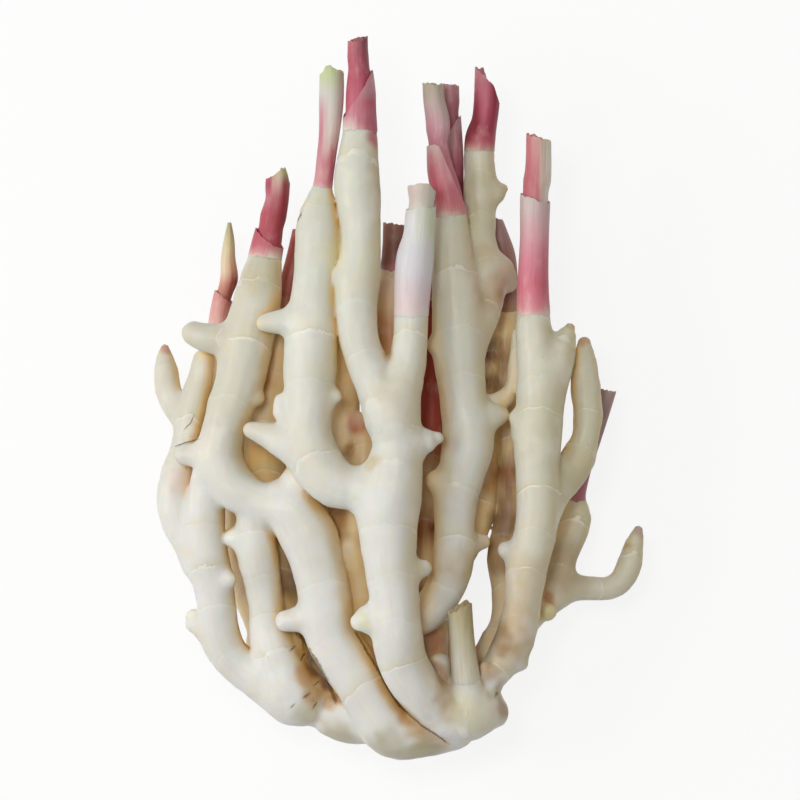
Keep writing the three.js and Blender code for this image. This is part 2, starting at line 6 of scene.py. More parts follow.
import bpy
import numpy as np
import openvdb
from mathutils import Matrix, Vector


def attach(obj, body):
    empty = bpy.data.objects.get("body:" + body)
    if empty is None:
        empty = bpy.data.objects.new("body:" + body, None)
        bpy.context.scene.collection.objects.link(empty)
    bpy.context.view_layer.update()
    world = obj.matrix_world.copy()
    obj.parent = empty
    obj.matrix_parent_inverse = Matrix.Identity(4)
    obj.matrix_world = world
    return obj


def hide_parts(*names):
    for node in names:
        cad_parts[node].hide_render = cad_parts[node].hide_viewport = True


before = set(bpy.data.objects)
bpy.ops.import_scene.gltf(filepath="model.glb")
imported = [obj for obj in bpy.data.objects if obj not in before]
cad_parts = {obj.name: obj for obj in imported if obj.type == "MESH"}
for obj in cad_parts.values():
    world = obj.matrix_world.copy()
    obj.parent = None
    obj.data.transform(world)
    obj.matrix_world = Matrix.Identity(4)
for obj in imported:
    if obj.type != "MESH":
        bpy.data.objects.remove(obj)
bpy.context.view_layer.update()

MM = 0.001
TINY = 1e-6
FAR = 1e3  # mm, further than any part of the hand
UP = np.array([0.0, 0.0, 1.0])
ONCE_ROUND = 6.28  # radians that a wave may be turned by

FINGERS = {
    # the middle stem, which forks into the tall finger and the short one with the pale shoot
    "middle_stem": [
        [21, -157, 60, 10.8], [8.5, -143, 70, 12], [1.3, -130, 76, 12.2], [-1.7, -115, 82, 12.5],
        [-2.5, -100, 84, 12.2], [-5, -80, 86, 13], [-6, -60, 87, 15], [-4, -40, 88, 14.8],
        [-1.3, -22, 88, 12.2], [-3.4, -8, 88, 13.6], [-1.6, 4, 88, 12.2], [2.2, 14, 88, 10.2],
        [4.8, 27, 88, 8.8], [5.5, 42, 88, 8.6],
    ],
    "tall_finger": [
        [-5, -7, 88, 13.2], [-11.5, 8, 88, 10.8], [-16.2, 18, 88, 10], [-20, 29, 88.5, 9.8],
        [-21.6, 42, 89, 10.1], [-21.3, 57, 89, 11], [-19.8, 70, 88.5, 10.4], [-19.4, 82, 88, 10],
        [-20.4, 97, 87, 11], [-21.3, 110, 86.5, 11.3], [-20.6, 122, 86, 9.9],
        [-19.8, 133.5, 85.5, 8.5],
    ],
    "arched_finger": [
        [-7, -48, 87, 12.5], [-20, -44.5, 86, 10], [-32, -41, 85, 12.2], [-41.5, -31, 84, 13],
        [-46, -16, 84, 12.3], [-45.2, 0, 84, 12.4], [-44.3, 18, 83.5, 13.5],
        [-43.3, 37, 82.5, 13.2], [-42, 55, 82, 11.6], [-40.8, 70, 82, 11.4], [-40.3, 82, 82, 11.6],
        [-40, 91, 81.8, 9.9], [-39.3, 100, 81.8, 6.8], [-38.3, 106, 82, 4.8],
    ],
    # the left stem, which hooks over to the left finger
    "left_stem": [
        [26, -163, 52, 12.8], [12, -165.5, 52, 13.4], [-3.5, -165, 53, 14.4], [-14, -150, 57, 13.4],
        [-24.5, -133, 61, 13.6], [-34.5, -117, 63, 13.2], [-37.2, -100, 66, 13],
        [-41, -82, 68, 13.2], [-46.5, -66, 70, 14.4], [-56.5, -53, 71, 12.8],
        [-70, -50.3, 70, 10.2], [-83, -43, 69, 11.3], [-90, -30, 68, 11.8], [-88, -15, 68, 10.8],
        [-84, -2, 68, 11.6], [-79.8, 9, 68, 12.2], [-78, 20, 68, 12.9], [-75, 34, 68, 12.8],
        [-71.5, 48, 68, 11.9], [-69.2, 60, 68, 10.3], [-67.2, 71.5, 68, 8.3],
    ],
    "left_prop": [
        [-56, -143, 45, 14], [-64, -121, 48, 11.5], [-66.7, -104, 52, 9], [-69, -90, 56, 9.2],
        [-71.3, -77, 61, 10.4], [-72.5, -63, 65, 9.5], [-72, -52, 69, 8.5],
    ],
    "outer_left_stem": [
        [-66, -141, 43, 11.5], [-75.5, -136.5, 43, 9.2], [-85, -129, 44, 9.8],
        [-90.6, -118, 46, 10.4], [-91.7, -107, 49, 9.8], [-93, -96, 52, 9.8], [-96.3, -80, 56, 11],
        [-97.6, -63, 60, 9.8], [-96.8, -50, 63, 9.2], [-95, -38, 66, 8.8],
    ],
    "outer_left_finger": [
        [-101, -80, 54, 9], [-107.5, -69, 54, 8], [-112.4, -58, 54, 8.2], [-113.6, -48, 54, 8.2],
        [-111.4, -36, 55, 7.8], [-108, -24, 56, 7], [-105, -11, 57, 7.2], [-102.4, 0, 57, 7.2],
        [-99.8, 11, 57, 6.3], [-98, 20, 57, 5.6],
    ],
    "far_left_bud": [
        [-107, -12, 54, 5.5], [-112.5, -4, 52, 6.2], [-116.2, 5, 50, 6.6], [-117.3, 14, 49, 5.7],
        [-118, 20, 48.5, 4.7], [-118, 26, 48, 2.1],
    ],
    # the base of the hand
    "base_right": [
        [12, -160, 50, 13], [23, -158, 54, 14.6], [34, -155.5, 56, 15], [44.5, -155, 56, 8.8],
    ],
    "base_left": [
        [-75.5, -137, 42, 8.6], [-66, -139.5, 43, 11.5], [-53, -149, 45, 14.5],
        [-43, -151, 42, 12.3],
    ],
    "base_behind": [[-42, -150, 40, 11.5], [-28, -158, 42, 14], [-10, -160, 43, 13]],
    "stub_neck": [[35, -157, 58, 9], [33, -139.5, 64, 7.2]],
    # the right middle stem, whose finger ends in the many-layered shoot
    "right_stem": [
        [12, -152, 50, 11], [0, -138, 53, 10], [-3, -122, 55, 9], [4, -112, 56, 9],
        [12.6, -107, 57.5, 9.4], [20.5, -98, 59, 9.6], [25, -88, 61, 10], [27, -78, 62, 10.3],
        [27.2, -62, 64, 10], [27.8, -48, 65, 11], [31.5, -34, 66, 12], [34, -21, 66, 13],
        [32.6, -8, 66, 12], [31, 6, 66, 11.8], [29.4, 22, 66, 12.8], [28.8, 40, 66, 12.9],
        [27.4, 58, 66, 11.2], [26, 78, 66, 9.4], [25.3, 92.3, 66, 8.1],
    ],
    "behind_shoot_finger": [[27, 66, 58, 8], [27.2, 80, 52, 6.4], [27.2, 92, 49, 5.2]],
    "pointed_shoot_finger": [
        [34, 28, 62, 9], [40.6, 42, 60, 8.6], [44, 54, 59, 8.8], [43.4, 66, 57.5, 8.6],
        [41, 79, 55, 7.3], [40, 98, 53, 8], [40, 112, 53, 8], [39.8, 125, 53, 7.6],
    ],
    "right_finger": [
        [33, -152, 53.5, 11], [41.7, -142.7, 54.3, 7.5], [49.2, -133.6, 57, 8.3],
        [54.4, -126, 59, 9.8], [59.3, -113, 61, 9.8], [61.6, -98, 63, 9.4], [63.6, -82, 64, 10.4],
        [67.4, -67, 65, 10.4], [69, -50, 66, 10.8], [68.6, -34, 66, 11], [68.6, -18, 66, 12.3],
        [69.8, -4, 66, 12], [70, 8, 66, 11.6], [68.3, 22, 66, 10.2], [66.8, 34, 66, 9.1],
        [66.6, 43, 66, 8.4],
    ],
    "slim_right_finger": [
        [72, -58, 58, 7.4], [78.5, -47, 57, 7], [85, -37.5, 56, 8], [89, -29.5, 55.5, 8.7],
        [92.8, -19, 55, 6.9], [94.2, -7, 55, 7.3], [93, 5, 55, 7.3], [92.4, 15, 55, 6.7],
        [92.3, 23, 55, 5.2], [92.3, 28.5, 55, 3.4],
    ],
    # the fingers behind, from the right of the hand to the left
    "right_rear": [
        [60, -113, 38, 8.6], [70, -102, 35, 8.4], [78, -91, 33, 9], [82, -79, 31, 7.8],
        [86.2, -68, 30, 8], [88.8, -60, 30, 7.8], [88, -50, 30, 5.8],
    ],
    "hooked_right": [
        [77, -98, 34, 9], [88, -95, 33, 6.7], [98, -95.3, 32, 5.8], [105.5, -95, 32, 6],
        [111.8, -91, 32, 6.1], [116.2, -82, 32, 6.2], [118.4, -73, 32, 4.8],
        [120.4, -65.8, 32, 2.4],
    ],
    "under_middle": [
        [8, -142, 46, 11], [0, -112, 47, 10.5], [-3, -80, 47, 10.3], [-4, -50, 49, 10.3],
        [-3, -20, 50, 10.3], [-3, 5, 50, 10.2], [-4.5, 28, 50, 9.8], [-5, 46, 50, 9.3],
        [-4.2, 58, 50, 8.3], [-3.3, 66, 50, 6.6],
    ],
    "under_arch": [
        [-10, -142, 50, 11], [-18, -118, 53, 9], [-20, -96, 56, 8.6], [-23, -74, 58, 8.5],
        [-20.5, -52, 60, 8.4], [-17.8, -32, 61, 7.9], [-18.8, -18, 61, 6.4], [-20.4, -10, 61, 4],
    ],
    "under_arch_fork": [
        [-24, -72, 56, 8], [-29, -52, 54, 8], [-29.5, -28, 53, 8.8], [-29.5, -2, 53, 9.2],
        [-28.6, 24, 53, 8.6], [-29, 42, 53, 7], [-30, 52, 53, 4.2],
    ],
    "red_shoot_finger": [
        [14, -136, 42, 10.5], [14, -110, 40, 9.6], [13, -85, 39, 9], [13.5, -60, 39, 9],
        [14.8, -40, 39, 8], [15.4, -26, 39, 6.8],
    ],
    "right_under": [
        [15, -104, 39, 8.5], [22, -88, 38, 8.5], [31, -74, 38, 9], [38, -58, 38, 9.4],
        [41, -42, 38, 8.8], [42, -22, 38, 8], [43, -4, 38, 7.2], [44.5, 14, 38, 6.8],
        [47, 32, 38, 5.6],
    ],
    "right_deep": [
        [46, -129, 40, 9.5], [52, -112, 37, 6.7], [52.6, -98, 36, 6.2], [51.4, -80, 36, 7.4],
        [55, -60, 36, 7.7], [56.3, -36, 36, 7.6], [56, -10, 36, 7.6], [54.5, 15, 36, 7.2],
        [54, 34, 36, 6.5], [53.5, 45, 36, 5.8],
    ],
    "left_deep": [
        [-56, -128, 43, 11], [-61.5, -96, 41, 11.4], [-66, -62, 42, 10.8], [-68, -32, 44, 11],
        [-66, -6, 46, 10], [-62.3, 18, 48, 9], [-58.8, 36, 49, 7.6], [-57, 45, 49, 6.3],
    ],
    "far_left_shoot_finger": [
        [-92, -98, 40, 8.5], [-96, -68, 36, 8], [-95, -38, 34, 7.5], [-93.5, -10, 34, 7.2],
        [-92.5, 14, 35, 6.7], [-91.8, 36, 36, 5.2],
    ],
    # the fingers that the hand lies on
    "rest_left": [
        [-46, -146, 27, 13], [-65, -118, 20, 11], [-77, -89, 13, 10.8], [-82, -56, 9.6, 10.3],
        [-84, -20, 9.2, 10], [-84, 8, 9.2, 9.6], [-82.4, 26, 9.4, 8.2], [-81, 38, 9.4, 5],
    ],
    "rest_mid_left": [
        [-14, -150, 26, 13], [-21, -118, 18, 12], [-28.5, -84, 12.2, 11.7], [-34, -48, 10.4, 11.2],
        [-36.3, -12, 10.2, 11], [-36.4, 22, 9.4, 10.1], [-35.4, 48, 9.4, 7.6],
    ],
    "rest_mid_right": [
        [22, -148, 28, 14], [15, -116, 19, 12.3], [10, -82, 12.4, 12], [7.5, -46, 10.8, 11.6],
        [7.6, -10, 10.4, 11.2], [9.6, 24, 9.6, 10.2], [11.6, 48, 9.4, 7.8],
    ],
    "rest_right": [
        [40, -142, 32, 12], [55.5, -117, 24, 10], [62, -90, 15, 10], [66, -54, 10, 10.5],
        [69, -18, 9.4, 10.1], [70, 8, 9, 9.2], [70, 26, 8.6, 6.6],
    ],
}

# Which finger each one grows from, and over how many mm the flesh flows from one into the other.
GROWS_FROM = [
    ("middle_stem", "base_right", 6),
    ("tall_finger", "middle_stem", 2.5),
    ("arched_finger", "middle_stem", 9),
    ("left_stem", "base_behind", 2.5),
    ("left_prop", "base_left", 7),
    ("left_prop", "left_stem", 3),
    ("outer_left_stem", "base_left", 7),
    ("outer_left_stem", "left_stem", 3),
    ("outer_left_finger", "outer_left_stem", 5),
    ("far_left_bud", "outer_left_finger", 4),
    ("base_left", "base_behind", 2),
    ("stub_neck", "base_right", 6),
    ("right_stem", "base_right", 5),
    ("behind_shoot_finger", "right_stem", 4),
    ("pointed_shoot_finger", "right_stem", 6),
    ("right_finger", "base_right", 7),
    ("slim_right_finger", "right_finger", 6),
    ("right_rear", "right_finger", 6),
    ("hooked_right", "right_rear", 5),
    ("under_middle", "base_behind", 5),
    ("under_arch", "base_behind", 5),
    ("under_arch_fork", "under_arch", 5),
    ("red_shoot_finger", "base_right", 5),
    ("right_under", "red_shoot_finger", 5),
    ("right_deep", "base_right", 5),
    ("left_deep", "base_left", 5),
    ("far_left_shoot_finger", "outer_left_stem", 5),
    ("rest_left", "base_left", 6),
    ("rest_mid_left", "base_behind", 6),
    ("rest_mid_right", "base_right", 6),
    ("rest_right", "base_right", 6),
]

# Knobs and buds: the finger that each is on, and its line.
KNOBS = [
    # on the left finger and its stem
    ("left_stem", [-85, 30, 68, 8], [-97, 31, 67.5, 7], [-103, 33.2, 67, 6]),
    ("left_stem", [-74, 1.5, 69, 5], [-70.6, 0.7, 71, 3.1]),
    ("left_stem", [-92, -28, 67, 7], [-101, -27.6, 66, 6.1], [-106.8, -27.4, 65, 5.5]),
    ("left_stem", [-42, -108, 64, 7.5], [-52, -109.6, 65, 6.2], [-57, -110.3, 65, 5.4]),
    ("left_stem", [-53, -54, 72, 11], [-50.5, -41, 73, 9.2]),
    # on the left props
    ("left_prop", [-76, -70, 62, 6], [-84, -69, 62, 4.8]),
    ("outer_left_stem", [-91, -91.5, 55, 5.5], [-86.2, -89.8, 60, 4.4]),
    ("outer_left_stem", [-95, -115, 45, 6.5], [-102.5, -112.5, 43, 5.3], [-104.2, -109, 43, 3.8]),
    # on the arched finger
    ("arched_finger", [-50, 39.5, 84, 7.5], [-61, 38.6, 84.5, 5.9], [-67, 38.2, 85, 4.4]),
    ("arched_finger", [-49, -24, 84, 10.6], [-59.5, -19.8, 84, 8.2], [-66.5, -17, 83.5, 6.2],
     [-73.6, -14.8, 83, 4.2]),
    ("arched_finger", [-54.5, -10, 85, 5], [-59, -6, 86, 4.1], [-59.4, 0, 86, 2.8]),
    ("arched_finger", [-36, 1, 85, 5], [-32, 2, 86, 3.2]),
    # on the middle stem and the tall finger
    ("middle_stem", [-9, -108, 82, 7.6], [-15.5, -108.6, 83, 7.2], [-19.6, -110, 83, 4.8]),
    ("middle_stem", [4, -22, 88, 8.4], [12.5, -20.3, 88, 6.2], [18.2, -18.8, 87.5, 3.4]),
    ("middle_stem", [4, -85, 84, 6.5], [11.6, -83.5, 81, 4.3]),
    ("tall_finger", [-26, 60, 89, 6.5], [-28.2, 61, 89, 4.5]),
    # on the right stem and its fingers
    ("right_stem", [24, -42, 66, 7.6], [17, -40, 66.5, 4.6]),
    ("right_stem", [22, 26.5, 67, 6.4], [18, 27.4, 69, 4.2]),
    ("right_stem", [35, -10, 66, 9.4], [43.6, -8.4, 65, 7.6], [50, -7.6, 64, 4.6]),
    ("right_stem", [42, -4, 60, 6], [50, -1, 58, 5], [55.5, 5, 58, 4], [57.6, 18, 58, 3.4],
     [58, 33, 59, 2.6]),
    ("right_stem", [30, -72, 60, 7], [37, -71.4, 56, 5.4], [41.6, -71, 54, 3.8]),
    ("pointed_shoot_finger", [42, 102, 53, 7], [47.6, 104, 53.5, 5.6], [51.4, 105.8, 53.5, 2.8]),
    ("pointed_shoot_finger", [42, 63, 57, 8.6], [50.3, 65.2, 55, 7.2], [54, 58.5, 53, 4.8]),
    # on the right finger
    ("right_finger", [71, 6, 66, 11.2], [75.6, 15, 65, 10.2], [79.4, 24, 64, 8.4],
     [83, 31.5, 63, 4.9], [85, 36, 62, 2.4]),
    ("right_finger", [61, -12, 67, 6.6], [57.8, -9.2, 68, 3.5]),
    ("right_finger", [58, -77, 62, 7], [52.7, -75.2, 61.5, 4.1]),
    ("right_finger", [57.5, -128, 58, 5], [61.4, -132.6, 58, 2.2]),
    # on the base
    ("base_right", [45, -146, 58, 4.6], [43, -138, 60, 3.1], [41.6, -133, 61, 1.9]),
    ("base_right", [18, -147, 58, 8.4], [19.4, -133.4, 58, 6.6]),
    ("base_right", [43, -156, 56, 8], [48, -157.6, 55, 5.4]),
    # at the back and underneath
    ("right_rear", [69, -107, 42, 5.6], [74.4, -106.4, 46.5, 4.6]),
    ("under_arch", [-25, -80, 60, 8], [-25.2, -73, 64, 5.6]),
    ("rest_left", [-86, -30, 12, 7.4], [-97, -26, 12, 4.4]),
    ("rest_mid_left", [-37, 2, 13, 7.6], [-49, 6, 12, 4.6]),
    ("rest_mid_right", [8, -30, 13, 8], [21, -27, 12, 4.8]),
    ("rest_left", [-60, -122, 24, 8], [-73, -124, 20, 5]),
    ("base_right", [24, -148, 36, 11], [26, -160, 28, 7]),
    ("base_behind", [-30, -148, 34, 10], [-36, -160, 28, 6.4]),
]

# The cut stub of last year's stem. Each plane that cuts its top is a point and the way out.
STUB = {
    "on": "stub_neck",
    "stations": [[32, -130, 66.5, 6.6], [30.8, -118, 69.5, 6.2], [29.4, -99, 74, 6.1]],
    "top": [
        ([32, -101.4, 74], [0.05, 1, 0.2]),
        ([26.5, -105, 74], [-0.62, 1, 0.2]),
    ],
}

# Each shoot goes on from the end of a finger. A leaf sheath covers it as far as the station
# sheath_to, where the plane of its lip cuts it, and the planes of its top cut the shoot itself.
SHOOTS = {
    "far_left_shoot": {
        "on": "far_left_shoot_finger",
        "stations": [
            [-91, 45, 36, 4.7], [-88.4, 54, 36, 5.2], [-86.2, 61, 36, 4.7], [-86.6, 71, 36, 3.8],
            [-86.1, 81, 36, 2.7], [-86, 89.5, 36, 1],
        ],
        "sheath_to": 2,
        "lip": ([-88.5, 52, 36], [0.75, 1, 0.15]),
    },
    "left_shoot": {
        "on": "left_stem",
        "stations": [
            [-65.4, 80, 68, 7.8], [-63.4, 90, 68, 6.8], [-61.2, 100, 68, 5.9], [-61, 107, 68, 6.2],
            [-60, 119, 68, 6],
        ],
        "sheath_to": 2,
        "lip": ([-65, 80.5, 68], [0.75, 1, 0.3]),
        "top": [
            ([-62, 112.7, 68], [-0.5, 0.86, 0.05]),
            ([-57.3, 115, 68], [0.94, 0.34, 0.05]),
        ],
    },
    "green_tipped_shoot": {
        "on": "arched_finger",
        "stations": [
            [-36.6, 120, 82, 4.6], [-35, 133, 81.5, 5], [-34, 148, 81, 5.9],
            [-33.8, 167, 80.5, 5.7],
        ],
        "top": [
            ([-36, 166, 80.5], [-1, 0.75, 0]),
            ([-36, 166, 80.5], [0.45, 1, 0.1]),
        ],
    },
    "tall_shoot": {
        "on": "tall_finger",
        "stations": [
            [-20, 143, 85, 8.1], [-20, 153, 85, 7.8], [-20.2, 163, 85, 6.6], [-20.8, 171, 85, 5.3],
            [-21, 182, 85, 5],
        ],
        "sheath_to": 3,
        "lip": ([-20, 153, 85], [-1, 0.62, 0.15]),
        "top": [([-21, 178.6, 85], [-0.22, 1, 0.2])],
    },
    "pale_shoot": {
        "on": "middle_stem",
        "stations": [
            [6, 52, 88, 8.9], [6.8, 63, 88, 9.3], [7.6, 71, 88, 9.2], [9.3, 81, 88, 7.8],
            [10.1, 91, 88, 7.5], [10.7, 98, 88, 7.2], [10.9, 110, 88, 7.1],
        ],
        "sheath_to": 6,
        "lip": ([10, 95, 88], [-0.1, 1, 0.1]),
        "top": [
            ([10.6, 106, 88], [-0.08, 1, -0.1]),
            ([15.6, 105.2, 88], [0.77, 0.63, 0]),
        ],
    },
    "brown_shoot": {
        "on": "under_middle",
        "stations": [[-3.1, 76, 50, 5.7], [-3, 92, 50, 5.3]],
        "top": [([-3, 88, 50], [0.12, 1, 0])],
    },
    "layered_shoot": {
        "on": "right_stem",
        "stations": [
            [23.8, 103, 66, 8], [20.8, 115, 66, 7.2], [19.2, 127, 66, 5.9], [18.8, 139, 66, 6],
            [16.9, 150, 66, 5.4], [16.4, 161, 66, 5.4],
        ],
        "sheath_to": 3,
        "lip": ([21, 124, 66], [0.92, 0.4, 0.1]),
        "top": [([16.8, 157.4, 66], [0.05, 1, 0.1])],
    },
    "behind_layered_shoot": {
        "on": "behind_shoot_finger",
        "stations": [
            [27.2, 105, 48.5, 4.6], [27.2, 122, 48.5, 4.5], [26.2, 142, 48.5, 4.3],
            [25.1, 150, 48.5, 4.8], [25, 162, 48.5, 4.6],
        ],
        "sheath_to": 3,
        "lip": ([28.4, 140.5, 48.5], [-0.85, 0.6, 0.1]),
        "top": [([25, 158, 48.5], [0.1, 1, 0.1])],
    },
    "pointed_shoot": {
        "on": "pointed_shoot_finger",
        "stations": [
            [40.4, 132, 53, 7.5], [42.3, 140, 53, 6.4], [43.3, 148, 53, 6.4], [43.6, 156, 53, 6.3],
            [43.8, 170, 53, 6],
        ],
        "top": [
            ([38.4, 165.8, 53], [0.69, 0.72, 0.05]),
            ([47.8, 154.5, 53], [0.95, 0.32, 0]),
        ],
    },
    "right_shoot": {
        "on": "right_finger",
        "stations": [
            [66.3, 58, 66, 7.8], [67.1, 80, 66, 7.2], [67.7, 104, 66, 7.5], [68.9, 114, 66, 6.7],
            [69.3, 136, 66, 6.2],
        ],
        "sheath_to": 3,
        "lip": ([67.5, 100.6, 66], [0.3, 1, 0.15]),
        "top": [([69, 130.8, 66], [0.28, 1, 0.1])],
    },
    "right_rear_shoot": {
        "on": "right_deep",
        "stations": [
            [53.7, 58, 38, 5.5], [52.6, 72, 40, 5.4], [49.6, 82, 41, 5], [45.5, 95, 42, 4],
        ],
        "top": [([47.6, 91.5, 42], [0.3, 1, 0])],
    },
    "far_right_rear_shoot": {
        "on": "right_rear",
        "stations": [
            [91, -37, 30.5, 5], [96.4, -21, 31, 4.7], [101, -7, 32, 4.5], [106, 9, 33, 4.3],
        ],
        "top": [([104.4, 4.6, 33], [0.2, 1, 0])],
    },
    "red_left_rear_shoot": {
        "on": "left_deep",
        "stations": [[-55.6, 57, 49, 5.3], [-52.4, 71, 49, 4.7], [-49, 88, 49, 4.1]],
        "top": [([-49.6, 85, 49], [0.1, 1, 0.1])],
    },
    "red_middle_rear_shoot": {
        "on": "red_shoot_finger",
        "stations": [
            [15.8, -10, 39, 6.5], [15.6, 12, 39, 6.2], [15.4, 34, 39, 5.2], [15.5, 54, 39, 4.4],
        ],
        "top": [([15.3, 50, 39], [0.2, 1, 0])],
    },
    "under_left_shoot": {
        "on": "rest_mid_left",
        "stations": [[-35, 60, 9.4, 6], [-35.4, 74, 9.4, 5.2], [-36, 94, 9.4, 4.6]],
        "top": [([-36, 90, 9.4], [0.2, 1, 0.2])],
    },
    "under_middle_shoot": {
        "on": "rest_mid_right",
        "stations": [[12.6, 60, 9.4, 6.2], [13.2, 74, 9.4, 5.3], [13.6, 92, 9.4, 4.7]],
        "top": [([13.6, 88, 9.4], [-0.2, 1, 0.2])],
    },
    "under_right_shoot": {
        "on": "rest_right",
        "stations": [[69.8, 38, 8.6, 5.5], [69, 54, 8.6, 4.9], [68, 76, 8.6, 4.3]],
        "top": [([68, 72, 8.6], [0.2, 1, 0.2])],
    },
}

# ---- how the flesh is shaped ----

GRID = 1.1  # mm between points of the field that the flesh is shaped in
REACH = 9.0  # mm outside the skin that the field is kept
LOW = np.array([-135.0, -192.0, -4.0])
HIGH = np.array([134.0, 150.0, 114.0])
LINE_STEP = 4.0  # mm between points of a finger's line
KNOB_FLOW = 4.5  # mm over which a knob flows into its finger
MOST_TRIANGLES = 196000

CROWD_START = 6.5  # mm over the skin where the crowding of the flesh is felt
CROWD_CELLS = 3  # how far it is felt, in double steps of the grid
CROWD_BLURS = 3
SKY_START = 1.5  # mm over the skin where looks at the sky start
SKY_STEP = 3  # mm between two stops of a look on its way up
SKY_REACH = 60  # mm that a look goes
SKY_SOFTNESS = 3.0  # how sharply flesh beside that way hides the sky
SKY_LOOKS = [(1, 0.0), (5, 0.55), (9, 1.05)]  # how many looks, and their tilt in radians
SKY_BEHIND = 0.25  # how far behind the skin a look may go and still count
LEAST_SKY = 0.2  # keeps skin that faces down from dividing by nothing

# ---- how the skin looks ----

# Places of the rings where scale leaves grew, as Y in mm. Other fingers, which hardly show, get
# one every RING_SPACING or so. The ring pattern also takes two rings to be that far apart.
RING_SPACING = 25  # mm
RINGS = {
    "middle_stem": [-131, -113, -88, -63, -38, -15, 10, 29],
    "tall_finger": [20, 44, 118],
    "arched_finger": [-31, 7, 30, 73, 92],
    "left_stem": [-142, -120, -93, -66, -28, -4, 27, 58],
    "right_stem": [-96, -70, -44, -12, 8, 32, 60, 80],
    "right_finger": [-132, -108, -84, -65, -46, -27, -9, 8, 26, 38],
    "slim_right_finger": [-48, -26, -9, 7, 20],
    "outer_left_finger": [-57, -35, -12, 6],
    "outer_left_stem": [-128, -104, -84, -62],
    "left_prop": [-128, -108, -86, -68],
    "pointed_shoot_finger": [48, 68, 90, 112],
}
FIRST_RING = (8, 16)  # mm before the end of those other fingers
LAST_RING = 4  # mm past their root, at least
RING_SHIFT = 3  # mm that their rings are moved at most
NO_RINGS = [-90, 190]  # mm, far off both ends of a finger that is too short for any
RING_STEP = 0.22  # mm that the skin stands proud at a ring
RING_TILT = 2.6  # mm that a ring leans towards the finger's end in front
RING_ARCH = 1.5  # mm that it arches besides
FULL_ARCH = 9  # mm, the mean radius from which a finger's rings lean and arch in full
RING_SWELL = (5, 0.8)  # mm before and past a ring over which the skin sinks back
RING_WOBBLE = (0.7, 9, 5)  # how far a ring wavers and over what length in mm, and the seed
RING_SEED = 12  # of how strongly each ring shows
MOST_RINGS = 40  # on one finger
FAINTEST_RING = 0.15
RING_FADING = 1.4  # the power that makes most rings faint
CLEAR = (0.3, 2.5)  # mm from a crease or the table where rings and swells start, and are full
SWELLS = [(0.22, 14, 1), (0.1, 6, 2)]  # how high and how long in mm, and the seed
RIPPLE_WAVES = 9
RIPPLE_SIZES = (0.7, 1.4)  # how fine the coarsest and the finest wave are, with 1 as asked
RIPPLE_HEIGHT = 4  # that those waves seldom add up to more than
SKIN_ROOM = 4  # mm outside a finger where a point can still be on its skin
GRAIN_RADIUS = 10  # mm that the pattern along a finger is wrapped round, on every finger
GRAIN_APART = 31  # mm between the patterns of two fingers
SMOOTHING_PASSES = 2

# Colours of the flesh. low and high run from the base up the fingers, whiter low down partly in the
# flesh's own tone and partly as painted light; left is a darker tone on the far left, right a tan
# on the far right that is partly painted shade on the fingers at the back; the rest is painted
# shade, warm ochre to deep brown, on sides that face right away from the light, in gaps that see
# little sky and in creases where the flesh crowds.
FLESH = {
    "low": "#e0dfda",
    "high": "#d1d1c3",
    "left": "#cdc9b8",
    "right": "#cfcab0",
    "flank_painted_shade": "#ccb682",
    "gap_painted_shade_left": "#f2cf8e",
    "gap_painted_shade_right": "#ead09c",
    "crease_painted_shade": "#d2aa64",
    "deep": "#b4783e",
}
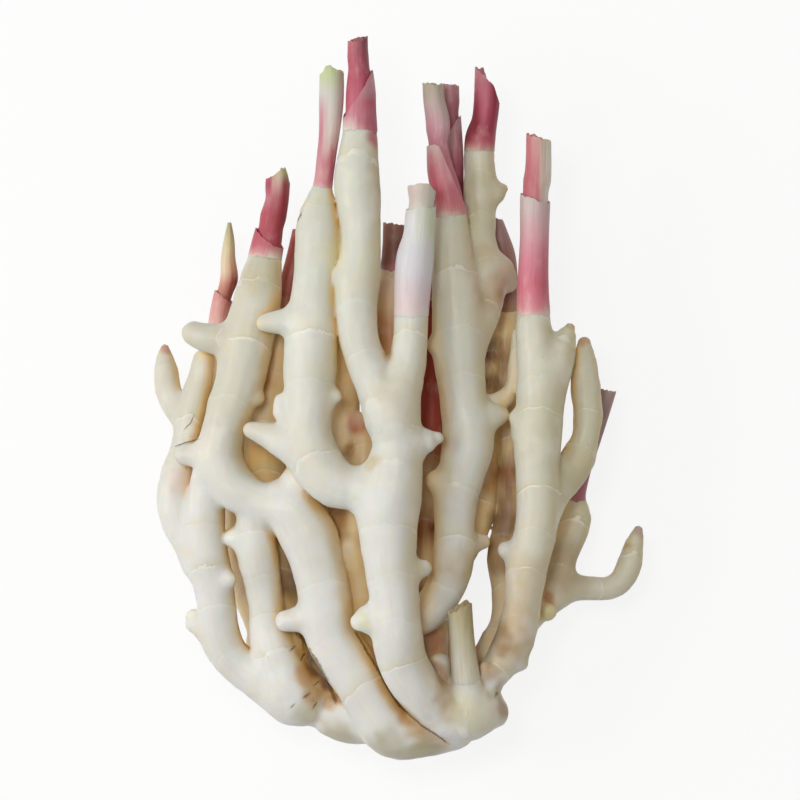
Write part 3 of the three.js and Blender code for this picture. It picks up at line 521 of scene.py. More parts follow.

# Patches of another colour on the skin, most of them painted shade and warm painted light in gaps,
# creases and on sides that turn from the light, the rest the skin's own marks and tones: [x, y, z,
# reach in mm, colour, share].
PATCH_DEPTH = 0.7  # how much a patch's distance counts across the layers of fingers
PATCH_CORE = 0.35  # of its reach, that has all of its colour
PATCH_EDGE = (1.2, 8, 7)  # how uneven its edge is and over what length in mm, and the seed
SHADE_AND_STAIN_PATCHES = [
    # mostly painted shade and warm painted light in the gaps between the front fingers, on the back
    # fingers seen through them and on sides that turn from the light
    [-31, 18, 61, 17, "#ffe2a4", 0.85],
    [-21, -12, 64, 8, "#c4683c", 0.75],
    [-25, -25, 61, 5, "#a0641f", 0.7],
    [-70, 10, 52, 10, "#c8893c", 0.7],
    [-70, -30, 54, 14, "#f2cf86", 0.8],
    [-5, 57, 56, 10, "#e6ccb6", 0.8],
    [-6, 34, 56, 14, "#c8702a", 0.75],
    [17, -29, 45, 9, "#cc9474", 0.7],
    [12, -65, 46, 14, "#a8642c", 0.75],
    [18, -65, 45, 6, "#6e3a14", 0.75],
    [-31, -60, 60, 9, "#bc7c4c", 0.55],
    [17, -121, 49, 11, "#b8684a", 0.7],
    [45, 25, 43, 10, "#6c2e18", 0.8],
    [54, 25, 42, 7, "#a8743e", 0.7],
    [43, -40, 45, 11, "#be8846", 0.65],
    [54, -37, 43, 10, "#985624", 0.8],
    [53, -50, 43, 8, "#8a5830", 0.6],
    [52.5, -62, 43, 12, "#7a4a22", 0.75],
    [49, -80, 42, 13, "#8e6234", 0.65],
    [47.5, 8, 44, 9, "#6e4018", 0.75],
    [53, 17, 43, 8, "#8a6030", 0.65],
    [-55, -92, 49, 11, "#6e3c1c", 0.75],
    [-56, -80, 49, 8, "#a06a3c", 0.6],
    [30, -83, 69, 13, "#b49a64", 0.55],
    [-6, 20.5, 88, 7, "#b88c50", 0.55],
    [53, -1, 61, 8, "#dcc284", 0.6],
    # painted shade over the root of the right finger, darkest where the stub shades it
    [60, -84, 72, 14, "#c8b284", 0.45],
    [58, -98, 70, 14, "#c6ac7c", 0.4],
    [56, -108, 68, 14, "#c2a674", 0.5],
    [54, -118, 66, 14, "#b8985e", 0.55],
    [51, -127, 64, 13, "#b89a68", 0.5],
    [46, -135, 62, 9, "#b4966a", 0.6],
    [61, -124, 60, 10, "#b8a078", 0.5],
    [50, -120, 67, 11, "#94703a", 0.75],
    # painted shade in crotches and on fingers further back, and a few of the flesh's own tones
    [-14, -31, 97, 6, "#ccb68a", 0.6],
    [82, -84, 38, 20, "#b49c7c", 0.7],
    [45, 55, 67, 13, "#9e7034", 0.85],
    [40, 72, 63, 9, "#c6a878", 0.6],
    [88, -46, 33, 5, "#a8645c", 0.7],
    [-12, 130, 90, 8, "#bc6c74", 0.85],
    [-32, 70, 86, 12, "#e2deb8", 0.6],
    # on the base: marks that the soil left, with painted shade in its crevices and along the groove
    # between the stems
    [-48, -138, 54, 9, "#c08a44", 0.8],
    [-47, -127, 52, 8, "#d0a058", 0.75],
    [-44, -148, 56, 8, "#b0843c", 0.75],
    [-46, -156, 52, 9, "#bcae80", 0.5],
    [-36, -152, 54, 6, "#b07c40", 0.7],
    [-41, -133, 50, 8, "#7c3a26", 0.85],
    [-37, -143, 50, 5, "#7c3a26", 0.85],
    [-30, -150, 54, 5, "#a05a3c", 0.7],
    [-9, -135, 68, 7, "#cca873", 0.35],
    [-4, -143, 68, 8, "#c8a268", 0.5],
    [0, -151, 67, 8, "#c0985c", 0.6],
    [4, -158, 66, 8, "#b88e50", 0.7],
    [8, -164, 65, 8, "#b08648", 0.75],
    [14, -169, 63, 8, "#b08850", 0.7],
    [20, -172, 60, 6, "#b8945c", 0.6],
    [20, -138, 68, 8, "#a8783e", 0.7],
    [22, -146, 72, 9, "#b4884e", 0.8],
    [24, -155, 71, 9, "#c6ac7a", 0.5],
    [17, -133, 63, 5, "#8a5526", 0.75],
    [28, -148, 68, 9, "#c2ae7c", 0.6],
    [36, -156, 70, 15, "#d6d2b4", 0.5],
    [47, -147, 60, 6, "#a89870", 0.6],
    [39, -142, 61, 5, "#c6ac80", 0.5],
    # darker patches over the upper fingers
    [-69, 63, 78, 15, "#b8ae92", 0.6],
    [41, 100, 54, 30, "#c8c29a", 0.6],
    [28, 60, 66, 34, "#cfc9ac", 0.5],
    # on the base again, with painted shade along its lower edge
    [51, -155, 59, 7, "#a07c60", 0.7],
    [-6, -173, 64, 14, "#b0a88c", 0.75],
    [12, -177, 59, 15, "#b2aa8c", 0.8],
    [-30, -168, 46, 13, "#b8b096", 0.8],
    # buds and knobs, and broad patches that make parts of some fingers darker or paler
    [42, -134, 62, 5, "#e6c4a0", 0.7],
    [31, -144, 68, 9, "#e0ded0", 0.8],
    [88, -35, 57, 16, "#bcb08a", 0.6],
    [0, 2, 99, 20, "#cfc4a8", 0.4],
    [67, -15, 76, 26, "#c8c2a4", 0.4],
    [-18, -109, 84, 7, "#d9d8ac", 0.7],
    [-86, -90, 60, 4, "#f0ede4", 0.8],
    [-118, 26, 48, 6, "#c09078", 0.8],
    [92.3, 29, 55, 5, "#b98a74", 0.8],
    [120.5, -66, 32, 5, "#bfa49a", 0.8],
    [115, -73, 36, 3, "#c8994e", 0.7],
    [75, -107, 48, 6, "#d9cc92", 0.7],
    # painted shadow above the knob on the right rear finger
    [75, -100, 42, 5, "#b8763c", 0.7],
    [-110, -40, 62, 10, "#dcc0b0", 0.5],
    [85, 37, 62, 4, "#c4a888", 0.6],
]

# Scars of roots and the cracks between stems: [half width in mm, then points x, y of the line].
CRACKS = [
    [0.45, (-54.2, -124.8), (-52.8, -123.6)],
    [0.5, (-49.2, -129.6), (-48, -127.4)],
    [0.55, (-47.2, -148.4), (-45.2, -147)],
    [0.4, (-43.2, -153.6), (-42, -151.8)],
    [0.4, (-53.8, -153.2), (-53.4, -152.9)],
    [0.35, (-42.6, -142.4), (-41, -141.2)],
    [0.9, (-51, -117), (-42.4, -129), (-36.4, -140), (-32, -151)],
    [
        0.5, (-22, -116), (-12.4, -132), (-5.4, -145), (0, -153), (11, -162.6), (19, -168),
        (23, -171),
    ],
    [0.7, (47.8, -147.4), (48.4, -146.6)],
    [0.25, (-107, -14), (-104, -11), (-103, -8)],
    [0.25, (-112, -23), (-108, -21.5), (-101, -19.6)],
    [0.35, (-51, 88.6), (-49.6, 90.4), (-48.6, 92.6)],
]
CRACK_END = 1.2  # mm over which a crack runs out
CRACK_SIDES = (2.6, 1.6)  # mm beside it where the skin starts to show it, and shows all of it
CRACK_FACING = (0, 0.3)  # how much the skin has to face up for that, likewise
CRACK_HEIGHT = (25, 35)  # mm that it has to be over the table, likewise

FINENESS = 0.55  # how much each finer layer of an uneven pattern counts
WET_SKIN = 1.42  # how strongly it bends light
SKIN_BUMP = 0.6  # of the relief below
LEAF_BUMP = 0.35

# Uneven patterns of the skin: name, patches per mm, and how many finer layers.
SKIN_PATTERNS = [
    ("wander", 0.1, 1),
    ("tears", 0.12, 2),
    ("patches", 0.045, 2),
    ("dots", 0.9, 1),
    ("dotted", 0.06, 1),
    ("uneven", 0.6, 3),
    ("dents", 0.16, 3),
    ("dampness", 0.2, 3),
]

# Strips along a ring: name, what keeps it, and where it starts, is full, starts to fade and is
# gone, in mm past the ring.
RING_STRIPS = [
    ("lip", "edge", -1.6, -0.3, 0, 0.4),
    ("shade", "edge", 0, 0.4, 0.5, 1.8),
    ("above", "ring_keep", 0, 0.3, 0.3, 7),
    ("step", "edge", -3, -0.1, 0, 0.5),
]

# Colours laid on the skin's own: where, the colour, and its share.
SKIN_COLOURS = [
    ("pale", "#f0ece2", 0.35),
    ("yellow", "#d8cca2", 0.25),
    ("lines", "#d0c8aa", 0.16),
    ("above", "#cfc9a4", 0.35),
    ("lip", "#faf7f0", 0.5),
    ("shade", "#b39c6c", 0.2),
    ("dots", "#a37f4c", 0.4),
    ("crack", "#6a5028", 0.75),
]

# What raises the skin, in mm.
SKIN_RELIEF = [("step", 0.25), ("fibres", 0.16), ("dents", 0.5), ("crack", -0.5)]

# ---- how the shoots look ----

# Colours of the leaf sheaths and shoots, from the left, or from the left by way of the middle, to
# the right: [Y in mm, colours]. Where the right side is darker, that is painted shade on the side
# away from the light at the left, and the shoots at the back are painted darker and browner all
# over as painted shade.
PAINT = {
    "far_left_shoot_sheath": [
        [36, "#e0beb0", "#d6a89a"], [43, "#deaca4", "#cc8e84"], [52, "#d49690", "#ac5c54"],
        [60, "#c88a7c", "#7c2820"],
    ],
    "far_left_shoot_stem": [
        [50, "#c47e76", "#963c34"], [59, "#cc9480", "#8a2f28"], [65, "#dcc6a8", "#c4866c"],
        [76, "#d8cba6", "#cdb98e"], [89, "#b9b485", "#a8a070"],
    ],
    "left_shoot_sheath": [
        [71, "#dccabc", "#d8c6b6"], [74, "#cc8e90", "#ca9490"], [77, "#bc5c6a", "#bf7272"],
        [84, "#b8545e", "#b46262"], [104, "#b85c68", "#a44c54"],
    ],
    "left_shoot_stem": [
        [78, "#b4545e", "#a4404a"], [92, "#b24c58", "#8e2e36"], [101, "#bc747c", "#942e38"],
        [107, "#a84658", "#c8a096", "#9a4a50"], [112, "#b0606a", "#c4b898", "#98a06c"],
        [117, "#a8a478", "#a4aa78", "#8a9660"],
    ],
    "green_tipped_shoot": [
        [105, "#dcc0b8", "#d4aeaa", "#c88c8c"], [108, "#d09a9c", "#c88088", "#b8606c"],
        [118, "#c88890", "#c07c80", "#b05462"], [124, "#c4848c", "#ccaca6", "#b6626c"],
        [133, "#c07a86", "#d0c2b8", "#ccaeaa"], [143, "#c8949c", "#d0c8be", "#ccc0b6"],
        [152, "#ccc4c0", "#c8c6ba", "#c4c0b2"], [160, "#c0cc9c", "#bac698", "#b8ba9c"],
        [172, "#a6bd66", "#a8b470", "#a8ac78"],
    ],
    "tall_shoot_sheath": [
        [133, "#d8d4c6", "#cc9898", "#b86470"], [137, "#d6b8b0", "#bc7880", "#b4606c"],
        [141, "#c88890", "#bc7480", "#b66a74"], [147, "#c07480", "#b86a78", "#b3606c"],
        [153, "#c07a84", "#c08890", "#b8888c"], [158, "#bc6c7a", "#c28c94"],
        [168, "#c07a86", "#b47680"],
    ],
    "tall_shoot_stem": [
        [134, "#c47a86", "#b85f6c"], [147, "#bf5e70", "#b05264"], [160, "#b85466", "#a84a5c"],
        [170, "#b45462", "#94505a"], [180, "#bc7478", "#7d4a50"],
    ],
    "pale_shoot_sheath": [
        [42, "#e0d2ce", "#d8cac4"], [47, "#dcc8c8", "#d6c0c0"], [56, "#daccce", "#d4c6c8"],
        [64, "#d6d2d6", "#d2ced0"], [76, "#d8d6da", "#d0d0ca"], [86, "#dad8da", "#c8ccae"],
        [94, "#d4d2ce", "#c8cab4"],
    ],
    "pale_shoot_stem": [
        [60, "#d8d4d4", "#cecebe"], [84, "#dad7d2", "#c6c9ae"], [93, "#d6d2ca", "#c8c9b6"],
        [97, "#cebfb6", "#c6c2b0"], [108, "#ccb8b0", "#c0bcaa"],
    ],
    # a pink shoot at the back, painted brown and dark as painted shade
    "brown_shoot": [
        [65, "#b8807c", "#b8747a"], [69, "#7c5444", "#b06c70"], [74, "#8e6052", "#5e4232"],
        [81, "#98695e", "#7a5446"], [90, "#a47a70", "#946a60"],
    ],
    "layered_shoot_sheath": [
        [91, "#dac6b8", "#d6c0b2"], [94, "#cc8484", "#cc8c8a"], [97, "#c66c74", "#c87c80"],
        [104, "#bc5a66", "#c47880"], [114, "#b8606c", "#c99a9a"], [122, "#c2868a", "#c8a9a2"],
        [128, "#c9b9ac", "#c2a8a0"], [136, "#c4b8a8", "#b88e8c"],
    ],
    "layered_shoot_stem": [
        [110, "#b0505c", "#b86a74"], [128, "#bc6c7a", "#c08690"], [138, "#c894a0", "#c8a8a8"],
        [148, "#c4b0a8", "#bcaaa2"], [160, "#b3b08e", "#aaa083"],
    ],
    "behind_layered_shoot_sheath": [
        [90, "#a06a64", "#8a4a4c"], [104, "#a85664", "#944856"], [120, "#b46c78", "#a45866"],
        [132, "#c69c9c", "#b47a84"], [140, "#d0b8b2", "#bc9094"],
    ],
    "behind_layered_shoot_stem": [
        [120, "#a05862", "#8c4852"], [140, "#ac6a74", "#9c5a62"], [152, "#bc868a", "#ac767c"],
        [164, "#c8a8a4", "#b48a8a"],
    ],
    "pointed_shoot": [
        [124, "#cfbca6", "#cfbfaa", "#cab8a2"], [127, "#b06c68", "#c08480", "#bc8078"],
        [130, "#8e2a34", "#b4626a", "#b0525c"], [136, "#841f2c", "#a84858", "#9c3444"],
        [146, "#96303e", "#b25364", "#93303e"], [156, "#b05868", "#b4606e", "#882c3a"],
        [167, "#bd7e84", "#a05862", "#7d2c38"],
    ],
    "right_shoot_sheath": [
        [42, "#e2ccc2", "#dcc0b6"], [45, "#dc9c9e", "#d08a8a"], [48, "#dc8a94", "#cf7680"],
        [58, "#d8798a", "#c4636f"], [72, "#d98f9c", "#c97884"], [84, "#d8a9ae", "#cf9ca0"],
        [96, "#d3c1bd", "#c8aeac"], [106, "#cdc4bc", "#c2b0ac"],
    ],
    "right_shoot_stem": [
        [90, "#c9767c", "#c8b0a0"], [100, "#c06a70", "#c27478", "#d8ccbe"],
        [116, "#c2727a", "#c4807e", "#dcd4c4"], [132, "#c87e80", "#c69c90", "#ccd0b4"],
    ],
    # pink shoots at the back, painted brown and red as painted shade
    "right_rear_shoot": [
        [44, "#b08c68", "#b49472"], [52, "#8c5048", "#a87c70"], [74, "#8c5450", "#a88078"],
        [93, "#a08484", "#a88c88"],
    ],
    "far_right_rear_shoot": [
        [-52, "#c0827c", "#b87078"], [-40, "#b87880", "#b07078"], [-14, "#b49890", "#a8827e"],
        [8, "#b0a098", "#a8908a"],
    ],
    "red_left_rear_shoot": [
        [44, "#b08850", "#a67a48"], [52, "#a04c3a", "#8c3c2c"], [86, "#a44e42", "#8c4236"],
    ],
    "red_middle_rear_shoot": [
        [-28, "#c89468", "#bc885c"], [-19, "#c8665a", "#b24e42"], [30, "#c45648", "#a84438"],
        [52, "#a84438", "#903428"],
    ],
    "under_left_shoot": [
        [47, "#dccfae", "#d4c49e"], [53, "#cc8f92", "#bd7a7e"], [90, "#c89a98", "#b88684"],
    ],
    "under_middle_shoot": [
        [47, "#dccfae", "#d4c49e"], [53, "#cc8f92", "#bd7a7e"], [90, "#c89a98", "#b88684"],
    ],
    "under_right_shoot": [
        [25, "#dccfae", "#d4c49e"], [31, "#cc8f92", "#bd7a7e"], [74, "#c89a98", "#b88684"],
    ],
    "old_stem_stub": [
        [-140, "#e0ded2", "#d2cab4"], [-131, "#dedacc", "#ccc4a8"], [-118, "#d6d2bc", "#bcb088"],
        [-106, "#ccc4a4", "#ae9e72"], [-100, "#b0996c", "#a89062"],
    ],
}

# Which nodes have another finish than pink_sheath.
SLOTS = {
    "pale_sheath": [
        "far_left_shoot_stem", "green_tipped_shoot", "pale_shoot_sheath", "pale_shoot_stem",
    ],
    # pink shoots at the back, whose colours are painted shade
    "brown_sheath": [
        "brown_shoot", "right_rear_shoot", "far_right_rear_shoot", "red_left_rear_shoot",
        "red_middle_rear_shoot",
    ],
}

# The material of each finish, the colour of its veins, and their share.
SHEATHS = {
    "pink_sheath": ("pink_leaf_sheath", "#a8404e", 0.16),
    "pale_sheath": ("pale_leaf_sheath", "#c4b9a6", 0.16),
    # the pink sheath's finish again, with darker veins, for shoots in painted shade
    "brown_sheath": ("brown_leaf_sheath", "#6e3a30", 0.16),
    "old_stem": ("old_stem_fibres", "#b09a6c", 0.25),
}

SHOOT_SIDES = 48
SHOOT_ROW = 1.5  # mm between rows of squares along a shoot
LEAST_ROWS = 8
EVEN_SHARE = 0.4  # of its shortest side, as far as its rows stay level
LEAST_REACH = 4  # mm, the shortest that a cut may leave a side
DOUBLES = 0.02 * MM  # points nearer than this become one
SHARP = math.radians(50)  # a turn between two faces that shows as an edge
SHOOT_ROOT = 3.0  # mm that a shoot starts below the end of its finger
ROOT_UNDER = 0.6  # mm that it is thinner there
ROOT_STEP = 0.75  # mm that it then comes out, to stand a little proud
ROOT_RAGGED = 0.4  # mm that the edge between is uneven, for each of its waves
ROOT_WAVES = (2, 3, 5, 9)  # how many times each goes round
SHEATH_WALL = 0.6  # mm, besides its thin lip
SHEATH_LIP = 0.35  # mm
SHEATH_THINNING = 6  # mm before the lip over which it gets that thin
SHEATH_RELIEF = 0.1  # mm that its veins stand out
STEM_RELIEF = 0.12
VEINS = (7, 11, 16, 23)  # how many times each set goes round
VEIN_TURN = 0.01  # radians per mm that veins lean
SLACK = 0.8  # of that relief, in slow waves
SLACK_LENGTH = 9  # mm
UNDER_SHEATH = 1.1  # mm that a stem is thinner where its sheath covers it
SWELL_LENGTH = 8.0  # mm over which it swells to its full width beyond that
RAGGED = 0.25  # mm that a cut edge is ragged
STUB_RAGGED = 0.35
NOTCHES = (3, 5, 8, 13)  # how many times each goes round
CUT_STEP = 0.25  # mm between looks for the place of a cut
ROUND = np.linspace(0, 2 * math.pi, SHOOT_SIDES + 1)
BAND_UNEVEN = 0.9  # mm that the edge between two bands of colour is uneven
SIDE_UNEVEN = 0.18  # likewise between left and right, as a share of the radius
FULL_SIDE = 0.8  # of the radius, where a side has all of its colour
STEM_SEED = 40
PAINT_SEED = 80
STUB_SEED = 70

# The layers in the cut end of a shoot, from its rim to its middle: share of the way in, and depth
# in mm.
CUT_FOLDS = [
    (0.16, -0.1), (0.2, 0.9), (0.42, 1.1), (0.46, 0.4), (0.7, 0.3), (0.74, 1.2), (1, 1.0),
]

# ---- light and camera ----

# Name, place, size in metres, watts and colour.
LAMPS = [
    ("window", (-1.3, 0.1, 1.0), 0.9, 12, "#ffffff"),
    ("ceiling", (-0.3, 0.3, 2.0), 0.5, 12, "#ffffff"),
    ("room", (0.8, 0.5, 1.7), 1.6, 2.5, "#fff6ea"),
]
AIM = Vector((0, 0, 0.05))
TABLE_SIZE = 6  # metres
TABLE_GAP = 0.0004  # metres under the hand
TABLE_WHITE = 0.85  # how much of the table the camera sees as plain white
ROOM_LIGHT = 0.34
CAMERA_HEIGHT = 2.838
LENS = 250

# ---- the flesh ----


def smooth_line(stations, step):
    """Points and radii about step mm apart on a smooth line, and each station's place in them."""
    knots = np.array(stations, float)
    gaps = np.linalg.norm(np.diff(knots[:, :3], axis=0), axis=1)
    times = np.concatenate([[0.0], np.cumsum(np.sqrt(gaps))])
    slopes = np.gradient(knots, times, axis=0)
    rows = []
    starts = []
    for i, gap in enumerate(gaps):
        pieces = max(1, round(gap / step))
        starts.append(len(rows))
        width = times[i + 1] - times[i]
        for t in np.arange(pieces) / pieces:
            rows.append(
                knots[i] * (2 * t**3 - 3 * t**2 + 1)
                + slopes[i] * width * (t**3 - 2 * t**2 + t)
                + knots[i + 1] * (3 * t**2 - 2 * t**3)
                + slopes[i + 1] * width * (t**3 - t**2)
            )
    starts.append(len(rows))
    rows.append(knots[-1])
    return np.array(rows), starts


def lengths_along(line):
    steps = np.linalg.norm(np.diff(line[:, :3], axis=0), axis=1)
    return np.concatenate([[0.0], np.cumsum(steps)])


def window(first, last):
    return tuple(slice(i, j) for i, j in zip(first, last))


def unit(vectors):
    return vectors / np.maximum(np.linalg.norm(vectors, axis=-1, keepdims=True), TINY)


class Finger:
    """One finger, stem, knob or lobe of the flesh, cut flat where a shoot goes on from it."""

    def __init__(self, name, stations, further=()):
        self.name = name
        line, starts = smooth_line(list(stations) + list(further), LINE_STEP)
        self.line = line[: starts[len(stations) - 1] + 1]
        self.along = lengths_along(self.line)
        self.flat_end = len(further) > 0
        self.end = self.line[-1, :3]
        count = len(self.line)
        self.way = unit(line[min(count, len(line) - 1), :3] - line[count - 2, :3])

    def near(self, points):
        """How far each point is outside the skin, how far along, and in which piece of the line."""
        best = np.full(len(points), FAR)
        place = np.zeros(len(points))
        piece = np.zeros(len(points), int)
        part = np.zeros(len(points))
        for i, (a, b) in enumerate(zip(self.line[:-1], self.line[1:])):
            run = b[:3] - a[:3]
            off = points - a[:3]
            t = np.clip(off @ run / (run @ run), 0, 1)
            off -= t[:, None] * run
            out = np.sqrt(np.einsum("ij,ij->i", off, off)) - (a[3] + t * (b[3] - a[3]))
            closer = out < best
            best[closer] = out[closer]
            place[closer] = self.along[i] + t[closer] * (self.along[i + 1] - self.along[i])
            piece[closer] = i
            part[closer] = t[closer]
        return best, place, piece, part


class Field:
    """How many mm each point of the grid is outside the skin. A finger keeps its own part."""

    def __init__(self):
        self.count = np.ceil((HIGH - LOW) / GRID).astype(int)
        self.whole = np.full(self.count, REACH, np.float32)
        self.parts = {}

    def axes(self, first, last):
        spans = [LOW[k] + GRID * np.arange(first[k], last[k]) for k in range(3)]
        return np.ix_(*[span.astype(np.float32) for span in spans])

    def cells(self, low, high):
        first = np.floor((low - LOW) / GRID).astype(int)
        return first, np.ceil((high - LOW) / GRID).astype(int)

    def add(self, finger):
        line = finger.line
        room = line[:, 3].max() + REACH
        first, last = self.cells(line[:, :3].min(0) - room, line[:, :3].max(0) + room)
        first = first.clip(0)
        last = np.minimum(last, self.count)
        part = np.full(last - first, REACH, np.float32)
        for a, b in zip(line[:-1], line[1:]):
            room = max(a[3], b[3]) + REACH
            begin, stop = self.cells(np.minimum(a, b)[:3] - room, np.maximum(a, b)[:3] + room)
            begin = np.maximum(begin, first)
            stop = np.minimum(stop, last)
            x, y, z = (axis - a[k] for k, axis in enumerate(self.axes(begin, stop)))
            run = b[:3] - a[:3]
            dot = x * run[0] + y * run[1] + z * run[2]
            t = np.clip(dot / (run @ run), 0, 1)
            far = x * x + y * y + z * z - 2 * t * dot + t * t * (run @ run)
            out = np.sqrt(np.maximum(far, 0)) - (a[3] + t * (b[3] - a[3]))
            view = part[window(begin - first, stop - first)]
            np.minimum(view, out, out=view)
        if finger.flat_end:
            x, y, z = (axis - finger.end[k] for k, axis in enumerate(self.axes(first, last)))
            way = finger.way
            np.maximum(part, x * way[0] + y * way[1] + z * way[2], out=part)
        self.parts[finger.name] = (first, last, part)
        view = self.whole[window(first, last)]
        np.minimum(view, part, out=view)

    def join(self, one, other, width):
        """The flesh of one finger flows into the other's over width mm."""
        first_a, last_a, a = self.parts[one]
        first_b, last_b, b = self.parts[other]
        first = np.maximum(first_a, first_b)
        last = np.minimum(last_a, last_b)
        a = a[window(first - first_a, last - first_a)]
        b = b[window(first - first_b, last - first_b)]
        share = np.clip(0.5 + 0.5 * (b - a) / width, 0, 1)
        both = b * (1 - share) + a * share - width * share * (1 - share)
        view = self.whole[window(first, last)]
        np.minimum(view, both, out=view)

    def lie_flat(self):
        z = LOW[2] + GRID * np.arange(self.count[2], dtype=np.float32)
        np.maximum(self.whole, -z[None, None, :], out=self.whole)

    def skin(self):
        grid = openvdb.FloatGrid(background=REACH)
        grid.copyFromArray(self.whole)
        grid.transform = openvdb.createLinearTransform(voxelSize=GRID)
        points, quads = grid.convertToQuads(isovalue=0)
        return points + LOW, quads

    def crowding(self, points):
        """How much of the room within a finger's width of each point is flesh, from 0 to 1."""
        solid = (self.whole[::2, ::2, ::2] < 0).astype(np.float32)
        for axis in (0, 1, 2) * CROWD_BLURS:
            solid = blur(solid, CROWD_CELLS, axis)
        return sample(solid, (points - LOW) / (2 * GRID))

    def openness(self, points, normals):
        """How much of the sky over the skin at each point is free of other flesh, from 0 to 1."""
        coarse = self.whole[::2, ::2, ::2]
        top = np.array(coarse.shape) - 1
        free = np.zeros(len(points))
        total = np.zeros(len(points))
        start = points + SKY_START * normals
        for looks, tilt in SKY_LOOKS:
            for turn in np.arange(looks) * 2 * math.pi / looks + tilt:
                aside = math.sin(tilt)
                way = np.array([aside * math.cos(turn), aside * math.sin(turn), math.cos(tilt)])
                weight = np.maximum(normals @ way + SKY_BEHIND, 0)
                clear = np.ones(len(points))
                for far in np.arange(SKY_STEP, SKY_REACH, SKY_STEP):
                    cell = np.rint((start + far * way - LOW) / (2 * GRID)).astype(int).clip(0, top)
                    clear = np.minimum(clear, 0.5 + SKY_SOFTNESS * coarse[tuple(cell.T)] / far)
                free += weight * clear.clip(0, 1)
                total += weight
        return free / np.maximum(total, LEAST_SKY)


def blur(field, reach, axis):
    room = [(reach + 1, reach) if k == axis else (0, 0) for k in range(3)]
    sums = np.cumsum(np.pad(field, room, mode="edge"), axis)
    low = np.arange(field.shape[axis])
    high = low + 2 * reach + 1
    return (np.take(sums, high, axis) - np.take(sums, low, axis)) / (2 * reach + 1)


def sample(field, places):
    """The field's value between its grid points."""
    places = np.clip(places, 0, np.array(field.shape) - 1.001)
    cell = places.astype(int)
    part = places - cell
    total = np.zeros(len(places))
    for corner in np.ndindex(2, 2, 2):
        weight = np.prod(np.where(corner, part, 1 - part), axis=1)
        total += weight * field[tuple((cell + corner).T)]
    return total


def grow_flesh():
    fingers = []
    goes_on = {shoot["on"]: shoot["stations"] for shoot in (*SHOOTS.values(), STUB)}
    for name, stations in FINGERS.items():
        fingers.append(Finger(name, stations, goes_on.get(name, ())))
    joins = list(GROWS_FROM)
    for number, (on, *stations) in enumerate(KNOBS):
        fingers.append(Finger(f"knob_{number}", stations))
        joins.append((f"knob_{number}", on, KNOB_FLOW))
    field = Field()
    for finger in fingers:
        field.add(finger)
    for one, other, width in joins:
        field.join(one, other, width)
    field.lie_flat()
    return fingers, field


# ---- tools ----


def linear(colour):
    """A hex sRGB colour in linear light."""
    levels = [int(colour[i : i + 2], 16) / 255 for i in (1, 3, 5)]
    return np.array([v / 12.92 if v <= 0.04045 else ((v + 0.055) / 1.055) ** 2.4 for v in levels])


def ease(low, high, value):
    t = np.clip((value - low) / (high - low), 0, 1)
    return t * t * (3 - 2 * t)


def mix(one, other, share):
    share = np.asarray(share)[..., None]
    return one * (1 - share) + other * share


def ripple(points, size, seed):
    """A smooth uneven value about -1 to 1, with swells size mm apart."""
    draw = np.random.default_rng(seed)
    total = np.zeros(len(points))
    for _ in range(RIPPLE_WAVES):
        way = draw.normal(size=3)
        way *= draw.uniform(*RIPPLE_SIZES) * 2 * math.pi / size / np.linalg.norm(way)
        total += np.sin(points @ way + draw.uniform(0, 2 * math.pi))
    return total / RIPPLE_HEIGHT


def deselect():
    bpy.ops.object.select_all(action="DESELECT")


def corners_of(piece, what="co"):
    """Where the corners of a mesh are, or their normals."""
    flat = np.zeros(len(piece.data.vertices) * 3)
    piece.data.vertices.foreach_get(what, flat)
    return flat.reshape(-1, 3)


def move_corners(piece, points):
    piece.data.vertices.foreach_set("co", (points * MM).ravel())
    piece.data.update()


def keep(piece, name, values):
    """Stores a value, a place or a colour per corner of the mesh for the material to read."""
    if name == "tint":
        kind, field, values = "FLOAT_COLOR", "color", np.c_[values, np.ones(len(values))]
    elif values.ndim == 2:
        kind, field = "FLOAT_VECTOR", "vector"
    else:
        kind, field = "FLOAT", "value"
    stored = piece.data.attributes.new(name, kind, "POINT")
    stored.data.foreach_set(field, values.ravel())


def smooth_over(piece, values):
    """Spreads values between neighbouring corners of the mesh."""
    ends = np.zeros(len(piece.data.edges) * 2, np.int32)
    piece.data.edges.foreach_get("vertices", ends)
    a, b = ends.reshape(-1, 2).T
    count = len(piece.data.vertices)
    links = np.bincount(a, minlength=count) + np.bincount(b, minlength=count)
    for _ in range(SMOOTHING_PASSES):
        total = np.bincount(a, values[b], count) + np.bincount(b, values[a], count)
        values = 0.5 * values + 0.5 * total / np.maximum(links, 1)
    return values


# ---- the skin of the rhizome ----


def ring_places(finger):
    """Where its scale leaves grew, in mm along the finger."""
    if finger.name in RINGS:
        line = finger.line
        places = [finger.along[np.argmin(np.abs(line[:, 1] - y))] for y in RINGS[finger.name]]
    else:
        draw = np.random.default_rng(sum(map(ord, finger.name)))
        start = finger.along[-1] - draw.uniform(*FIRST_RING)
        shift = draw.uniform(-RING_SHIFT, RING_SHIFT)
        places = list(np.arange(start, LAST_RING, -RING_SPACING) + shift)
    places = sorted(places)
    if not places:
        return NO_RINGS
    return [places[0] - RING_SPACING] + places + [places[-1] + RING_SPACING]


